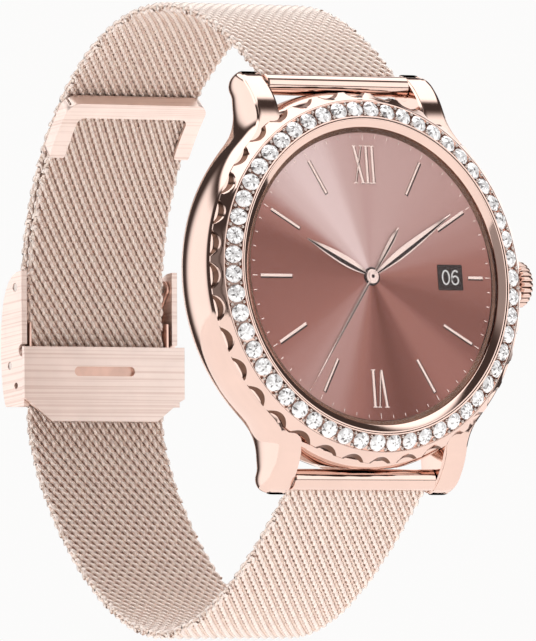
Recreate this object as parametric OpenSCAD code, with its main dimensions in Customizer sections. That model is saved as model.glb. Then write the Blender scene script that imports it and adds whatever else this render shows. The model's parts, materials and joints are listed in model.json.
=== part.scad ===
// Round smartwatch on a woven-mesh loop band with a sliding clasp.
// The origin is on the axis of the wrist that the band closes around. +Z points
// to 12 o'clock, +X to 3 o'clock, and the display faces -Y.
// Inside the modules a place is given by its depth behind the display face.

/* [Display and bezel] */
// Radius of the cover glass
glass_r = 16; // [13:0.1:20]
// Thickness of the cover glass
glass_t = 0.55; // [0.4:0.05:1]
// Width of the polished slope around the glass
rehaut_w = 0.9; // [0.6:0.05:1.5]
// Height of that slope above the glass
rehaut_rise = 0.35; // [0.1:0.05:0.6]
// Width of the channel that holds the crystals
channel_w = 1.8; // [1.6:0.05:2.6]
// Outward slope of the crystal channel in degrees
channel_slope = 24; // [10:1:35]
// Radius of one crystal
crystal_r = 0.9; // [0.6:0.05:1.2]
// Number of crystals
crystal_count = 54; // [36:1:56]
// Width and depth of the scalloped chamfer
scallop_w = 1; // [0.6:0.05:1.6]
// Number of scallops
scallop_count = 36; // [24:1:48]
// Depth of one scallop
scallop_cut = 0.28; // [0.1:0.02:0.4]

/* [Case] */
// How far the case swells past the bezel
case_swell = 0.5; // [0.2:0.05:1.2]
// Depth from the display face to the seat of the bezel
seat_depth = 1.6; // [1.4:0.05:2.4]
// Depth from the display face to the back rim of the case
case_depth = 7; // [6.4:0.1:10]
// Thickness of the case wall
case_wall = 3.1; // [2.6:0.1:4]
// Thickness of the back cover
cover_t = 1.1; // [0.9:0.05:1.6]
// Radius of the sensor window
window_r = 9; // [7:0.1:11]
// Height of the sensor window above the back cover
window_rise = 1.5; // [0.8:0.1:2.2]

/* [Lugs and spring bars] */
// Clear width between two lugs
lug_gap = 18.4; // [15:0.1:23]
// Width of one lug
lug_w = 3.2; // [2.4:0.1:4.4]
// Distance from the widest part of the case to a spring bar's axis
bar_reach = 0.75; // [0.6:0.05:2]
// Depth of the spring bars
bar_depth = 5.2; // [4.6:0.1:6]
// Radius of a spring bar
bar_r = 0.75; // [0.6:0.05:0.9]
// Outer radius of the band's tube that turns on the bar
sleeve_r = 1.15; // [1.05:0.05:1.5]

/* [Band] */
// Gap between each edge of the mesh and the lug beside it
mesh_side_gap = 0.4; // [0.2:0.05:0.8]
// Thickness of the mesh
mesh_t = 1.1; // [0.8:0.05:1.4]
// Distance from the spring bars back to the middle of the clasp
loop_depth = 49.7; // [42:0.1:60]
// Height of the 12 o'clock half above the middle
crest_12 = 32.9; // [30:0.1:42]
// Height of the 6 o'clock half below the middle
crest_6 = 34.8; // [30:0.1:42]
// Share of the 12 o'clock half that the free tail lies along
tail_share = 0.55; // [0.4:0.01:0.65]
// Length of the metal cap on the free tail
cap_len = 7.6; // [5:0.1:10]
// Width of the cap's bar and legs
cap_leg = 2; // [1.4:0.1:3]

/* [Clasp] */
// Lean of the clasp towards the wrist in degrees
clasp_tilt = 6.5; // [0:0.5:12]
// Length of the cover above the clasp's middle
cover_up = 8; // [7.6:0.1:9]
// Length of the cover below the clasp's middle
cover_down = 6.9; // [6.5:0.1:8]
// Space between the outer layer of mesh and the cover's back
cover_room = 0.7; // [0.5:0.05:1.9]
// Thickness of the sheet that the cover is pressed from
sheet_t = 0.7; // [0.6:0.05:0.9]
// Length of the lock plate
plate_len = 8.2; // [7.4:0.1:9]
// Length of the slot in the lock plate
slot_len = 7.9; // [5:0.1:10]
// Width of that slot
slot_w = 1.04; // [0.6:0.02:1.4]

/* [Crown] */
// Radius of the crown
crown_r = 2.55; // [2:0.05:3]
// Thickness of the crown
crown_t = 1.7; // [1.4:0.05:2.4]
// Number of flutes on the crown
flute_count = 24; // [16:1:32]
// Travel of the crown when it is pressed
crown_travel = 0.5; // [0.3:0.05:0.6]
// Radius of the crown's stem
stem_r = 0.75; // [0.6:0.05:0.95]

/* [Clearances] */
// Radial clearance of turning fits
run_gap = 0.05; // [0.02:0.01:0.09]
// Clearance between pieces that pass each other
pass_gap = 0.07; // [0.05:0.01:0.1]
// Clearance between pieces that are put together for good
seat_gap = 0.02; // [0.01:0.01:0.05]

/* [Hidden] */

// Colours
rose = [0.86, 0.66, 0.58];
rose_dark = [0.70, 0.49, 0.42];
steel = [0.75, 0.75, 0.77];
black = [0.08, 0.08, 0.09];

// Smoothness of the turned pieces
round_fn = 96;
small_fn = 32;
curve_steps = 8;
path_steps = 16;

// Frame: the display face lies this far in front of the wrist's axis
setback = 31;

// Radii of the rings, from the glass outwards
rehaut_in = glass_r + 0.1;
rehaut_out = rehaut_in + rehaut_w;
rim_w = 0.1;
bezel_in = rehaut_out + pass_gap;
channel_in = bezel_in + rim_w;
channel_out = channel_in + channel_w;
scallop_in = channel_out + rim_w;
bezel_out = scallop_in + scallop_w;
case_r = bezel_out + case_swell;
cavity_r = case_r - case_wall;
ledge_in = glass_r - 0.7;
ledge_t = 0.8;
bezel_top = -0.45;
channel_drop = channel_w * tan(channel_slope);
channel_deep = 0.95;
crystal_ring_r = (channel_in + channel_out) / 2;
crystal_ring_d = bezel_top + channel_drop / 2;

// Depths of the stack under the display
panel_r = glass_r - 0.4;
panel_t = 0.95;
glass_top = -0.05;
panel_top = glass_top + glass_t;
stack_gap = 0.1;
chassis_top = seat_depth + ledge_t + stack_gap;
chassis_t = 0.6;
board_top = chassis_top + chassis_t + stack_gap;
board_t = 0.6;
floor_top = board_top + board_t;
sensor_board_t = 0.4;
stack_end = case_depth - stack_gap;
battery_end_d = stack_end - sensor_board_t - stack_gap;

// Layout on the main board
part_gap = 0.8;
motor_r = 3.6;
motor_x = cavity_r - motor_r - part_gap;
battery_half = motor_x - motor_r - 0.6;
battery_end = sqrt(pow(cavity_r - part_gap, 2) - pow(battery_half, 2)) - 2.4;
speaker_r = 2.4;
speaker_ring = cavity_r - speaker_r - 0.6;
speaker_gap = 0.44;
speaker_angle = acos((battery_half + speaker_gap + speaker_r) / speaker_ring);
port_r = 0.4;
magnet_r = 1.7;
magnet_z = battery_end + magnet_r + 0.4;
pin_z = battery_end + 1.4;
pin_x = 2.2;
pin_r = 0.7;
flex_half = 3;
flex_z = ledge_in - 1.2;

// Back cover and its screws
screw_r = 0.45;
screw_head_r = 0.8;
gasket_w = 0.4;
gasket_t = 0.3;
gasket_out = cavity_r + 0.15 + gasket_w;
screw_ring = gasket_out + 0.3 + screw_r;
screw_deep = 2.3;
cover_r = case_r - 0.7;
window_t = 0.6;

// Spring bars and lugs
bar_z = case_r + bar_reach;
tip_r = 0.45;
tip_len = 1.2;
sleeve_len = lug_gap - 0.2;
lug_in = lug_gap / 2;
lug_out = lug_in + lug_w;
lug_flare = 2.6;
lug_root = sqrt(pow(case_r - 0.2, 2) - pow(lug_out + lug_flare, 2));
root_sunk = 2;
lug_rear = case_depth + 0.5;
lug_tip = [bar_depth - 0.2, bar_z + 0.85];
lug_tip_pull = [1, 0.95];

// Crown, along +X at the bars' depth
crown_gap = 0.15;
crown_in = case_r + crown_travel + crown_gap;
crown_out = crown_in + crown_t;
tube_r = 1.5;
tube_in = cavity_r + 0.1;
tube_out = case_r + 0.25;
clip_x = cavity_r - 1.6;
clip_t = 0.4;
clip_r = bar_depth - floor_top - stack_gap;
groove_r = stem_r - 0.2;
disc_x = clip_x - 0.8;
disc_t = 0.5;
stem_in = disc_x - 0.4;
switch_x = stem_in - crown_travel - 0.1;
oring_r = 0.2;

// Band: the curves run in the plane of depth and height
mesh_w = lug_gap - 2 * mesh_side_gap;
clasp_depth = bar_depth + loop_depth;
layer_gap = 0.15;
layer = mesh_t + layer_gap;
half_mesh = mesh_t / 2;
heading_12 = 47;
heading_6 = -40;
straight_up = 5;
straight_down = 8;
end_12_z = 3.6;
weld_gap = 0.03;
crest_12_depth = bar_depth + 0.45 * loop_depth;
crest_6_depth = bar_depth + 0.525 * loop_depth;

function along(a) = [cos(a), sin(a)];
function clasp_pt(n, v) =
  [clasp_depth + n * cos(clasp_tilt) - v * sin(clasp_tilt), n * sin(clasp_tilt) + v * cos(clasp_tilt)];
function bez(p, t) =
  pow(1 - t, 3) * p[0] + 3 * pow(1 - t, 2) * t * p[1] + 3 * (1 - t) * t * t * p[2] + pow(t, 3) * p[3];
function bez_dir(p, t) =
  pow(1 - t, 2) * (p[1] - p[0]) + 2 * (1 - t) * t * (p[2] - p[1]) + t * t * (p[3] - p[2]);
function unit(v) = v / norm(v);
function left_of(v) = [-v[1], v[0]];
// The point beside a curve: off is positive to the left of the direction of travel
function beside(p, t, off) = bez(p, t) + off * left_of(unit(bez_dir(p, t)));
function curve(p, steps, off = 0) = [for (i = [0:steps]) beside(p, i / steps, off)];
// A curve that leaves one point and reaches another with given headings and pulls
function reach(a, ha, pull_a, b, hb, pull_b) =
  let (span = norm(b - a)) [a, a + pull_a * span * along(ha), b - pull_b * span * along(hb), b];
function reversed(v) = [for (i = [len(v) - 1:-1:0]) v[i]];

down_heading = clasp_tilt - 90;
bar_12 = [bar_depth, bar_z];
bar_6 = [bar_depth, -bar_z];
top_12 = [crest_12_depth, crest_12];
top_6 = [crest_6_depth, -crest_6];
front_12 = reach(bar_12 + (sleeve_r + weld_gap) * along(heading_12), heading_12, 0.45, top_12, 0, 0.3);
back_12 = reach(top_12, 0, 0.345, clasp_pt(layer, straight_up), down_heading, 0.39);
front_6 = reach(bar_6 + (sleeve_r + weld_gap) * along(heading_6), heading_6, 0.33, top_6, 0, 0.33);
back_6 = reach(top_6, 0, 0.36, clasp_pt(0, -straight_down), 180 + down_heading, 0.22);

// The free tail lies inside the 12 o'clock half, one layer in, up to the cap
tail_t = 1 - tail_share;
cap_end_gap = 0.05;
cap_wall = 0.5;
cap_sheet = 0.33;
cap_half = mesh_w / 2 + seat_gap + cap_sheet;
cap_face_out = -half_mesh - seat_gap;
cap_face_in = cap_face_out - cap_sheet;
cap_corner_r = 1.5;
cap_inner_r = 0.8;
tail_speed = 3 * norm(bez_dir(back_12, tail_t));
cap_t0 = tail_t - (cap_wall + cap_end_gap) / tail_speed;
cap_t1 = cap_t0 + cap_len / tail_speed;
function tail_curve(off) = [for (i = [0:path_steps])
  beside(back_12, 1 - i * tail_share / path_steps, -layer + off)];
function cap_curve(off, t0, t1) = [for (i = [0:curve_steps])
  beside(back_12, t0 + (t1 - t0) * i / curve_steps, -layer + off)];

// Clasp, in its own frame: Y outwards through the mesh, Z up along it
flange_in = mesh_w / 2 + 0.1;
lane_t = 0.25;
flange_out = flange_in + lane_t;
ear_in = flange_out + pass_gap;
ear_out = ear_in + lane_t;
cover_in = ear_out + pass_gap;
cover_out = cover_in + sheet_t;
base_in = half_mesh + pass_gap;
base_t = 0.35;
base_out = base_in + base_t;
base_up = 2.3;
base_hole_r = 0.9;
base_hole_pitch = 3.6;
end_in = base_out + pass_gap;
end_out = layer + half_mesh;
end_len = 1;
end_top = end_12_z - seat_gap;
end_low = end_top - end_len;
cover_rise = end_out + cover_room + sheet_t;
hinge_y = 0.35;
hinge_z = cover_up - 1.8;
hinge_r = 0.45;
ear_r = 0.9;
latch_r = 0.4;
latch_y = end_in + latch_r;
latch_z = -2.4;
cover_top_z = hinge_z - 1.8;
skin_y = -(half_mesh + 0.95);
skin_t = 0.5;
wall_front = -(half_mesh + 0.45);
knuckle_r = 0.42;
knuckle_pin_r = 0.22;
knuckle_y = -(half_mesh + knuckle_r + 0.08);
plate_top = -0.3;
knuckle_z = plate_top - knuckle_r;
plate_sweep_r = norm([knuckle_y - skin_y, knuckle_r]) + pass_gap;
plate_half = cover_out + 0.3;
plate_end = plate_top - plate_len;
knuckle_x = flange_in - 1.4;
slot_z = plate_top - 2.7;
slot_end = (slot_len - slot_w) / 2;
pad_half = 0.375 * mesh_w;

// Depth behind the display face, turned pieces and pieces across the band
module placed() translate([0, -setback, 0]) children();
module turned(fn = round_fn) placed() rotate([-90, 0, 0]) rotate_extrude($fn = fn) children();
module across(w) rotate([90, 0, 90]) linear_extrude(w, center = true) children();
module both_sides() {
  children();
  mirror([1, 0, 0]) children();
}
module at_clasp() placed() translate([0, clasp_depth, 0]) rotate([clasp_tilt, 0, 0]) children();
module rod(r, x0, x1, fn = small_fn) translate([x0, 0, 0]) rotate([0, 90, 0])
  cylinder(r = r, h = x1 - x0, $fn = fn);
module disc(r, d0, d1, fn = small_fn) translate([0, d0, 0]) rotate([-90, 0, 0])
  cylinder(r = r, h = d1 - d0, $fn = fn);
module block(x, y, z) translate([x[0], y[0], z[0]])
  cube([x[1] - x[0], y[1] - y[0], z[1] - z[0]]);

// ---- Case ----

// Seen from the side: a slope from the bezel's seat over the bar, then a rounded tip
module lug_side() polygon(concat(
  [[seat_depth, lug_root - root_sunk]],
  curve([[seat_depth, lug_root + 0.6], [seat_depth, bar_z - 3.4], [seat_depth + 1.4, bar_z - 0.8],
         lug_tip], curve_steps),
  curve([lug_tip, lug_tip + lug_tip_pull, [lug_rear, bar_z + 1.2], [lug_rear, bar_z - 0.4]], curve_steps),
  [[case_depth, cover_r + 0.2], [case_depth, lug_root - root_sunk]]
));

// Seen from the front: straight inside, a rounded corner and a flare into the case outside
module lug_front() polygon(concat(
  [[lug_in, lug_root - root_sunk], [lug_in, bar_z + 2]],
  curve([[lug_out - 1.4, bar_z + 1.6], [lug_out - 0.4, bar_z + 1.6], [lug_out, bar_z + 0.9],
         [lug_out, bar_z - 0.2]], curve_steps),
  curve([[lug_out, bar_z - 3], [lug_out, bar_z - 4.8], [lug_out + lug_flare / 2, lug_root + 1.6],
         [lug_out + lug_flare, lug_root]], curve_steps),
  [[lug_out + lug_flare, lug_root - root_sunk]]
));

module lug() intersection() {
  translate([(lug_in + lug_out + lug_flare) / 2, 0, 0]) across(lug_w + lug_flare + 1) lug_side();
  rotate([90, 0, 0]) translate([0, 0, -lug_rear - 1]) linear_extrude(lug_rear + 2) lug_front();
}

module case_middle() color(rose) difference() {
  union() {
    turned() polygon(concat(
      [[ledge_in, seat_depth]],
      curve([[bezel_out, seat_depth], [case_r + 0.15, seat_depth + 1], [case_r + 0.35, case_depth - 1.4],
             [case_r - 0.6, case_depth]], curve_steps),
      [[ledge_in, case_depth]]
    ));
    placed() both_sides() {
      lug();
      mirror([0, 0, 1]) lug();
    }
  }
  turned() polygon([
    [0, seat_depth + ledge_t], [cavity_r, seat_depth + ledge_t], [cavity_r, case_depth - gasket_t],
    [gasket_out, case_depth - gasket_t], [gasket_out, case_depth + 2], [0, case_depth + 2]
  ]);
  placed() for (s = [-1, 1]) translate([0, bar_depth, s * bar_z]) {
    rod(tip_r + run_gap, -lug_in - tip_len - 0.1, lug_in + tip_len + 0.1);
    rod(sleeve_r + 0.35, -lug_in, lug_in);
  }
  placed() translate([0, bar_depth, 0]) rod(tube_r + seat_gap, 0, case_r + 2);
  placed() screw_places() disc(screw_r + run_gap, case_depth - screw_deep - 0.2, case_depth + 1);
  placed() for (a = [-speaker_angle, speaker_angle]) rotate([0, a, 0]) translate([0, bar_depth, 0])
    rod(port_r, 0, case_r + 2);
}

module screw_places() for (a = [45:90:315]) rotate([0, a, 0]) translate([screw_ring, 0, 0]) children();

module scallop_cutter() {
  cut_r = 1.6;
  rotate([0, 0, 45]) translate([-3, -(cut_r - scallop_cut), 0]) rod(cut_r, 0, 6);
}

module bezel_ring() color(rose) difference() {
  turned() polygon([
    [bezel_in, seat_depth], [bezel_in, bezel_top], [channel_in, bezel_top],
    [channel_in, bezel_top + channel_deep], [channel_out, bezel_top + channel_drop + channel_deep - 0.15],
    [channel_out, bezel_top + channel_drop], [scallop_in, bezel_top + channel_drop + 0.05],
    [bezel_out, bezel_top + channel_drop + 0.05 + scallop_w], [bezel_out, seat_depth]
  ]);
  placed() for (i = [0:scallop_count - 1]) rotate([0, i * 360 / scallop_count, 0])
    translate([(scallop_in + bezel_out) / 2, bezel_top + channel_drop + 0.05 + scallop_w / 2, 0])
      scallop_cutter();
}

module crystal() rotate_extrude($fn = small_fn) polygon([
  [0, -0.72], [crystal_r, -0.12], [crystal_r, 0.02], [crystal_r * 0.6, 0.34], [0, 0.34]
]);

module bezel_crystals() color([0.92, 0.94, 0.97]) placed()
  for (i = [0:crystal_count - 1]) rotate([0, (i + 0.5) * 360 / crystal_count, 0])
    translate([crystal_ring_r, crystal_ring_d, 0]) rotate([0, 0, channel_slope]) rotate([90, 0, 0]) crystal();

module rehaut_ring() color(rose_dark) turned() polygon([
  [rehaut_in, glass_top + seat_gap], [rehaut_out, glass_top - rehaut_rise], [rehaut_out, seat_depth],
  [rehaut_in, seat_depth]
]);

module cover_glass() color([0.75, 0.80, 0.85]) turned() polygon([
  [0, glass_top], [glass_r - 0.15, glass_top], [glass_r, glass_top + 0.15],
  [glass_r, panel_top], [0, panel_top]
]);

module display_gasket() color(black) turned() polygon([
  [panel_r + 0.05, panel_top], [glass_r, panel_top], [glass_r, seat_depth], [panel_r + 0.05, seat_depth]
]);

module display_panel() color([0.78, 0.55, 0.52]) placed()
  disc(panel_r, panel_top, panel_top + panel_t, round_fn);

module display_flex() color([0.75, 0.5, 0.15]) placed() block(
  [-flex_half, flex_half], [panel_top + panel_t, board_top], [-flex_z - 0.15, -flex_z + 0.15]);

module inner_chassis() color(black) difference() {
  placed() disc(cavity_r - 0.15, chassis_top, chassis_top + chassis_t, round_fn);
  placed() block(
    [-flex_half - 0.5, flex_half + 0.5], [chassis_top - 1, board_top], [-flex_z - 0.8, -flex_z + 0.8]);
  placed() for (s = [-1, 1]) translate([s * motor_x / 2, 0, 2]) disc(3, chassis_top - 1, board_top);
}

module main_board() color([0.05, 0.25, 0.15]) difference() {
  placed() disc(cavity_r - 0.4, board_top, board_top + board_t, round_fn);
  placed() for (a = [30:120:270]) rotate([0, a, 0]) translate([cavity_r - 0.6, 0, 0])
    disc(0.9, board_top - 1, board_top + 2);
}

chip_gap = 0.5;
module chip(wide, tall, span) block(
  [-battery_half - chip_gap - wide, -battery_half - chip_gap], [floor_top, floor_top + tall], span);

module board_chips() color(steel) placed() {
  chip(3.4 - chip_gap, 0.9, [4.2, 8.4]);
  chip(3 - chip_gap, 0.7, [-7, -4.2]);
}

module battery() color([0.55, 0.57, 0.62]) placed() {
  block([-battery_half, battery_half], [floor_top + 0.05, battery_end_d], [-battery_end, battery_end - 0.8]);
  block([-2, 2], [floor_top + 0.3, battery_end_d - 0.6], [battery_end - 0.8, battery_end - 0.1]);
}

module vibration_motor() color(steel) placed() translate([-motor_x, 0, 0])
  disc(motor_r, floor_top + 0.05, stack_end - 0.3);

module speaker() color(black) placed() rotate([0, speaker_angle, 0]) translate([speaker_ring, 0, 0]) {
  disc(speaker_r, floor_top + 0.05, floor_top + 2.2);
  disc(speaker_r - 0.5, floor_top + 2.2, floor_top + 2.4);
}

module microphone() color(steel) placed() rotate([0, -speaker_angle, 0])
  block([speaker_ring - 1.2, speaker_ring + 1.2], [floor_top, floor_top + 1], [-0.9, 0.9]);

module antenna_strip() color([0.8, 0.55, 0.2]) placed() translate([0, floor_top + 0.1, 0]) rotate([-90, 0, 0])
  rotate([0, 0, -120]) rotate_extrude(angle = 60, $fn = round_fn)
    translate([cavity_r - 0.7, 0]) square([0.4, 1.3]);

module back_gasket() color(black) turned() translate([gasket_out - gasket_w - 0.05, case_depth - gasket_t])
  square([gasket_w, gasket_t]);

module back_cover() color(rose_dark) difference() {
  turned() polygon([
    [window_r - 0.6, case_depth], [cover_r, case_depth], [cover_r, case_depth + 0.35],
    [cover_r - 1.4, case_depth + cover_t], [window_r + seat_gap, case_depth + cover_t],
    [window_r + seat_gap, case_depth + cover_t - window_t], [window_r - 0.6, case_depth + cover_t - window_t]
  ]);
  placed() screw_places() {
    disc(screw_r + run_gap, case_depth - 1, case_depth + 2);
    disc(screw_head_r + 0.1, case_depth + 0.35, case_depth + 3);
  }
  placed() for (s = [-1, 1]) translate([s * pin_x, 0, -pin_z])
    disc(pin_r + seat_gap, case_depth - 1, case_depth + 3);
}

module sensor_window() color([0.1, 0.08, 0.1]) turned() polygon([
  [0, case_depth + cover_t - window_t], [window_r, case_depth + cover_t - window_t],
  [window_r, case_depth + cover_t + 0.2], [window_r - 0.8, case_depth + cover_t + window_rise - 0.3],
  [window_r - 2.5, case_depth + cover_t + window_rise], [0, case_depth + cover_t + window_rise]
]);

module sensor_board() color([0.05, 0.25, 0.15]) placed() {
  disc(window_r - 1, stack_end - sensor_board_t, stack_end, 48);
  for (a = [0:90:270]) rotate([0, a, 0]) block([2.6, 4.2], [stack_end, stack_end + 0.5], [-0.8, 0.8]);
}

module charging_pins() color([0.85, 0.7, 0.35]) placed() for (s = [-1, 1])
  translate([s * pin_x, 0, -pin_z]) {
    disc(pin_r, battery_end_d, case_depth + cover_t + 0.05);
    disc(pin_r + 0.4, battery_end_d - 0.4, battery_end_d);
  }

module charging_magnets() color(steel) placed() for (s = [-1, 1])
  translate([s * (magnet_r + 0.5), 0, magnet_z]) disc(magnet_r, stack_end - 1, stack_end);

module back_screws() color(steel) placed() screw_places() difference() {
  union() {
    disc(screw_r, case_depth - screw_deep, case_depth + 0.35);
    disc(screw_head_r, case_depth + 0.35, case_depth + 0.8);
  }
  disc(0.4, case_depth + 0.5, case_depth + 1, 6);
}

// ---- Crown ----

module at_crown() placed() translate([0, bar_depth, 0]) children();

cap_recess = 0.6;
cap_wall = 0.4;
cap_play = 0.2;
flute_r = 0.25;
flute_out = 0.1;

module crown_cap() color(rose) at_crown() difference() {
  rotate([0, 90, 0]) rotate_extrude($fn = round_fn) polygon([
    [stem_r + seat_gap, crown_in + cap_recess], [stem_r + seat_gap, crown_out - cap_wall],
    [0, crown_out - cap_wall], [0, crown_out], [crown_r - 0.5, crown_out], [crown_r, crown_out - 0.3],
    [crown_r, crown_in + 0.15], [crown_r - 0.2, crown_in], [tube_r + cap_play, crown_in],
    [tube_r + cap_play, crown_in + cap_recess]
  ]);
  for (i = [0:flute_count - 1]) rotate([i * 360 / flute_count, 0, 0])
    translate([0, crown_r + flute_out, 0]) rod(flute_r, crown_in - 1, crown_out + 1, 16);
}

module crown_stem() color(steel) at_crown() rotate([0, 90, 0]) rotate_extrude($fn = small_fn) polygon([
  [0, stem_in], [stem_r, stem_in], [stem_r, clip_x - run_gap], [groove_r, clip_x - run_gap],
  [groove_r, clip_x + clip_t + run_gap], [stem_r, clip_x + clip_t + run_gap], [stem_r, crown_out - cap_wall - run_gap],
  [0, crown_out - cap_wall - run_gap]
]);

module crown_encoder_disc() color([0.3, 0.3, 0.33]) at_crown() difference() {
  rod(clip_r, disc_x, disc_x + disc_t);
  rod(stem_r + seat_gap, disc_x - 1, disc_x + 2);
}

module crown_clip() color(steel) at_crown() difference() {
  rod(clip_r, clip_x, clip_x + clip_t);
  rod(groove_r + run_gap, clip_x - 1, clip_x + 2);
}

gland_out = tube_out - 1;
gland_w = 0.5;
gland_t = 0.5;

module crown_tube() color(steel) at_crown() rotate([0, 90, 0]) rotate_extrude($fn = small_fn) polygon([
  [stem_r + run_gap, tube_in], [tube_r, tube_in], [tube_r, tube_out], [stem_r + run_gap, tube_out],
  [stem_r + run_gap, gland_out], [stem_r + gland_t, gland_out], [stem_r + gland_t, gland_out - gland_w],
  [stem_r + run_gap, gland_out - gland_w]
]);

module crown_gasket() color(black) at_crown() translate([gland_out - gland_w / 2, 0, 0]) rotate([0, 90, 0])
  rotate_extrude($fn = small_fn) translate([stem_r + 0.26, 0]) circle(oring_r, $fn = 16);

module crown_switch() color(black) at_crown() {
  block([switch_x - 1.4, switch_x - 0.3], [-1.2, 1.2], [-2, 2]);
  rod(0.7, switch_x - 0.3, switch_x);
}

// ---- Spring bars and band ----

module spring_bar(z) color(steel) placed() translate([0, bar_depth, z]) {
  rod(bar_r, -lug_in + 0.05, lug_in - 0.05);
  rod(tip_r, -lug_in - tip_len, lug_in + tip_len);
}
module spring_bar_12() spring_bar(bar_z);
module spring_bar_6() spring_bar(-bar_z);

module bar_sleeve(z) color(rose) placed() translate([0, bar_depth, z]) difference() {
  rod(sleeve_r, -sleeve_len / 2, sleeve_len / 2, 48);
  rod(bar_r + run_gap, -lug_gap, lug_gap);
}
module bar_sleeve_12() bar_sleeve(bar_z);
module bar_sleeve_6() bar_sleeve(-bar_z);

function path_12(off) = concat(
  curve(front_12, path_steps, off),
  [for (i = [1:path_steps]) beside(back_12, i / path_steps, off)],
  [clasp_pt(layer + off, end_12_z)]
);
function path_6(off) = concat(
  curve(front_6, path_steps, -off),
  [for (i = [1:path_steps]) beside(back_6, i / path_steps, -off)],
  tail_curve(off)
);

module strap_12_mesh() color(rose) placed() across(mesh_w)
  polygon(concat(path_12(half_mesh), reversed(path_12(-half_mesh))));

module strap_6_mesh() color(rose) placed() across(mesh_w)
  polygon(concat(path_6(half_mesh), reversed(path_6(-half_mesh))));

module cap_band(in, out, t0, t1)
  polygon(concat(cap_curve(in, t0, t1), reversed(cap_curve(out, t0, t1))));

// The U of the cap seen flat: X across the band, Y along it from the tail's end
module cap_plan() difference() {
  union() {
    translate([-cap_half, cap_corner_r]) square([2 * cap_half, cap_len - cap_corner_r - cap_leg / 2]);
    translate([cap_corner_r - cap_half, 0]) square([2 * (cap_half - cap_corner_r), 2 * cap_corner_r]);
    both_sides() {
      translate([cap_half - cap_corner_r, cap_corner_r]) circle(cap_corner_r, $fn = small_fn);
      translate([cap_half - cap_leg / 2, cap_len - cap_leg / 2]) circle(cap_leg / 2, $fn = small_fn);
    }
  }
  translate([cap_leg - cap_half, cap_leg + cap_inner_r])
    square([2 * (cap_half - cap_leg), cap_len]);
  translate([cap_leg + cap_inner_r - cap_half, cap_leg])
    square([2 * (cap_half - cap_leg - cap_inner_r), cap_len]);
  both_sides() translate([cap_half - cap_leg - cap_inner_r, cap_leg + cap_inner_r])
    circle(cap_inner_r, $fn = small_fn);
}

// The cap is pressed from sheet: a U-shaped inner plate, a wall over the mesh's end, two side walls
module tail_cap() {
  end = beside(back_12, cap_t0, -layer);
  face_dir = unit(bez_dir(back_12, cap_t0));
  lean = atan2(face_dir[1], face_dir[0]);
  color(rose) placed() intersection() {
    union() {
      across(2 * cap_half) cap_band(cap_face_in, cap_face_out, cap_t0, cap_t1);
      across(2 * cap_half) cap_band(cap_face_in, half_mesh, cap_t0, cap_t0 + cap_wall / tail_speed);
      both_sides() translate([cap_half - cap_sheet / 2, 0, 0]) across(cap_sheet)
        cap_band(cap_face_in, half_mesh, cap_t0, cap_t1);
    }
    translate([0, end[0], end[1]]) rotate([lean - 90, 0, 0]) rotate([90, 0, 0])
      linear_extrude(cap_len, center = true) cap_plan();
  }
}

// ---- Clasp ----

module strap_12_end() color(rose_dark) at_clasp() difference() {
  union() {
    block([-ear_out, ear_out], [end_in, end_out], [end_low, end_top]);
    both_sides() translate([(ear_in + ear_out) / 2, 0, 0]) across(lane_t) {
      translate([hinge_y, hinge_z]) circle(ear_r, $fn = small_fn);
      polygon([
        [hinge_y - 0.6, hinge_z - 0.6], [hinge_y + 0.6, hinge_z + 0.6], [end_out, hinge_z - 0.6],
        [end_out, end_low], [end_in, end_low], [end_in, end_12_z]
      ]);
    }
  }
  translate([0, hinge_y, hinge_z]) rod(hinge_r + run_gap, -ear_out - 1, ear_out + 1);
}

// The D-shaped outline of the cover's side, from its top end over the back to its foot
foot_drop = 0.9;
cover_back = [[wall_front, cover_up], [1.9, cover_up], [cover_rise, 5.2], [cover_rise, 0]];
cover_foot = [
  [cover_rise, 0], [cover_rise, -3.5], [cover_rise - foot_drop / 3, -5.5],
  [cover_rise - foot_drop, -cover_down]
];
function cover_line(off) = concat(
  curve(cover_back, curve_steps, off),
  [for (i = [1:curve_steps]) beside(cover_foot, i / curve_steps, off)]
);

tool_hole_r = 0.35;
tool_hole_y = 0.2;
tool_hole_z = latch_z - 2.2;

module clasp_cover() color(rose) at_clasp() difference() {
  across(2 * cover_out) polygon(concat(
    cover_line(0),
    [[skin_y + pass_gap, -cover_down], [skin_y + pass_gap, plate_top - 0.1], [wall_front, plate_top + 0.2]]
  ));
  across(2 * cover_in) polygon(concat(
    [[wall_front - 3, cover_up + 2]],
    [[1, cover_up + 2]],
    cover_line(-sheet_t),
    [[cover_rise - foot_drop - sheet_t, -cover_down - 1], [wall_front - 3, -cover_down - 1]]
  ));
  block([-cover_in, cover_in], [-3, cover_rise + 2], [cover_top_z, cover_up + 2]);
  translate([0, hinge_y, hinge_z]) rod(hinge_r + seat_gap, -cover_out - 1, cover_out + 1);
  translate([0, latch_y, latch_z]) rod(latch_r + seat_gap, -cover_out - 1, cover_out + 1);
  translate([0, tool_hole_y, tool_hole_z]) rod(tool_hole_r, -cover_out - 1, cover_out + 1);
  translate([0, knuckle_y, knuckle_z]) rod(plate_sweep_r, -cover_out - 1, cover_out + 1);
}

module cover_hinge_pins() color(steel) at_clasp() both_sides() translate([0, hinge_y, hinge_z])
  rod(hinge_r, ear_in - 0.02, cover_out - 0.05);

module latch_bar() color(steel) at_clasp() translate([0, latch_y, latch_z])
  rod(latch_r, -cover_out + 0.05, cover_out - 0.05);

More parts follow.
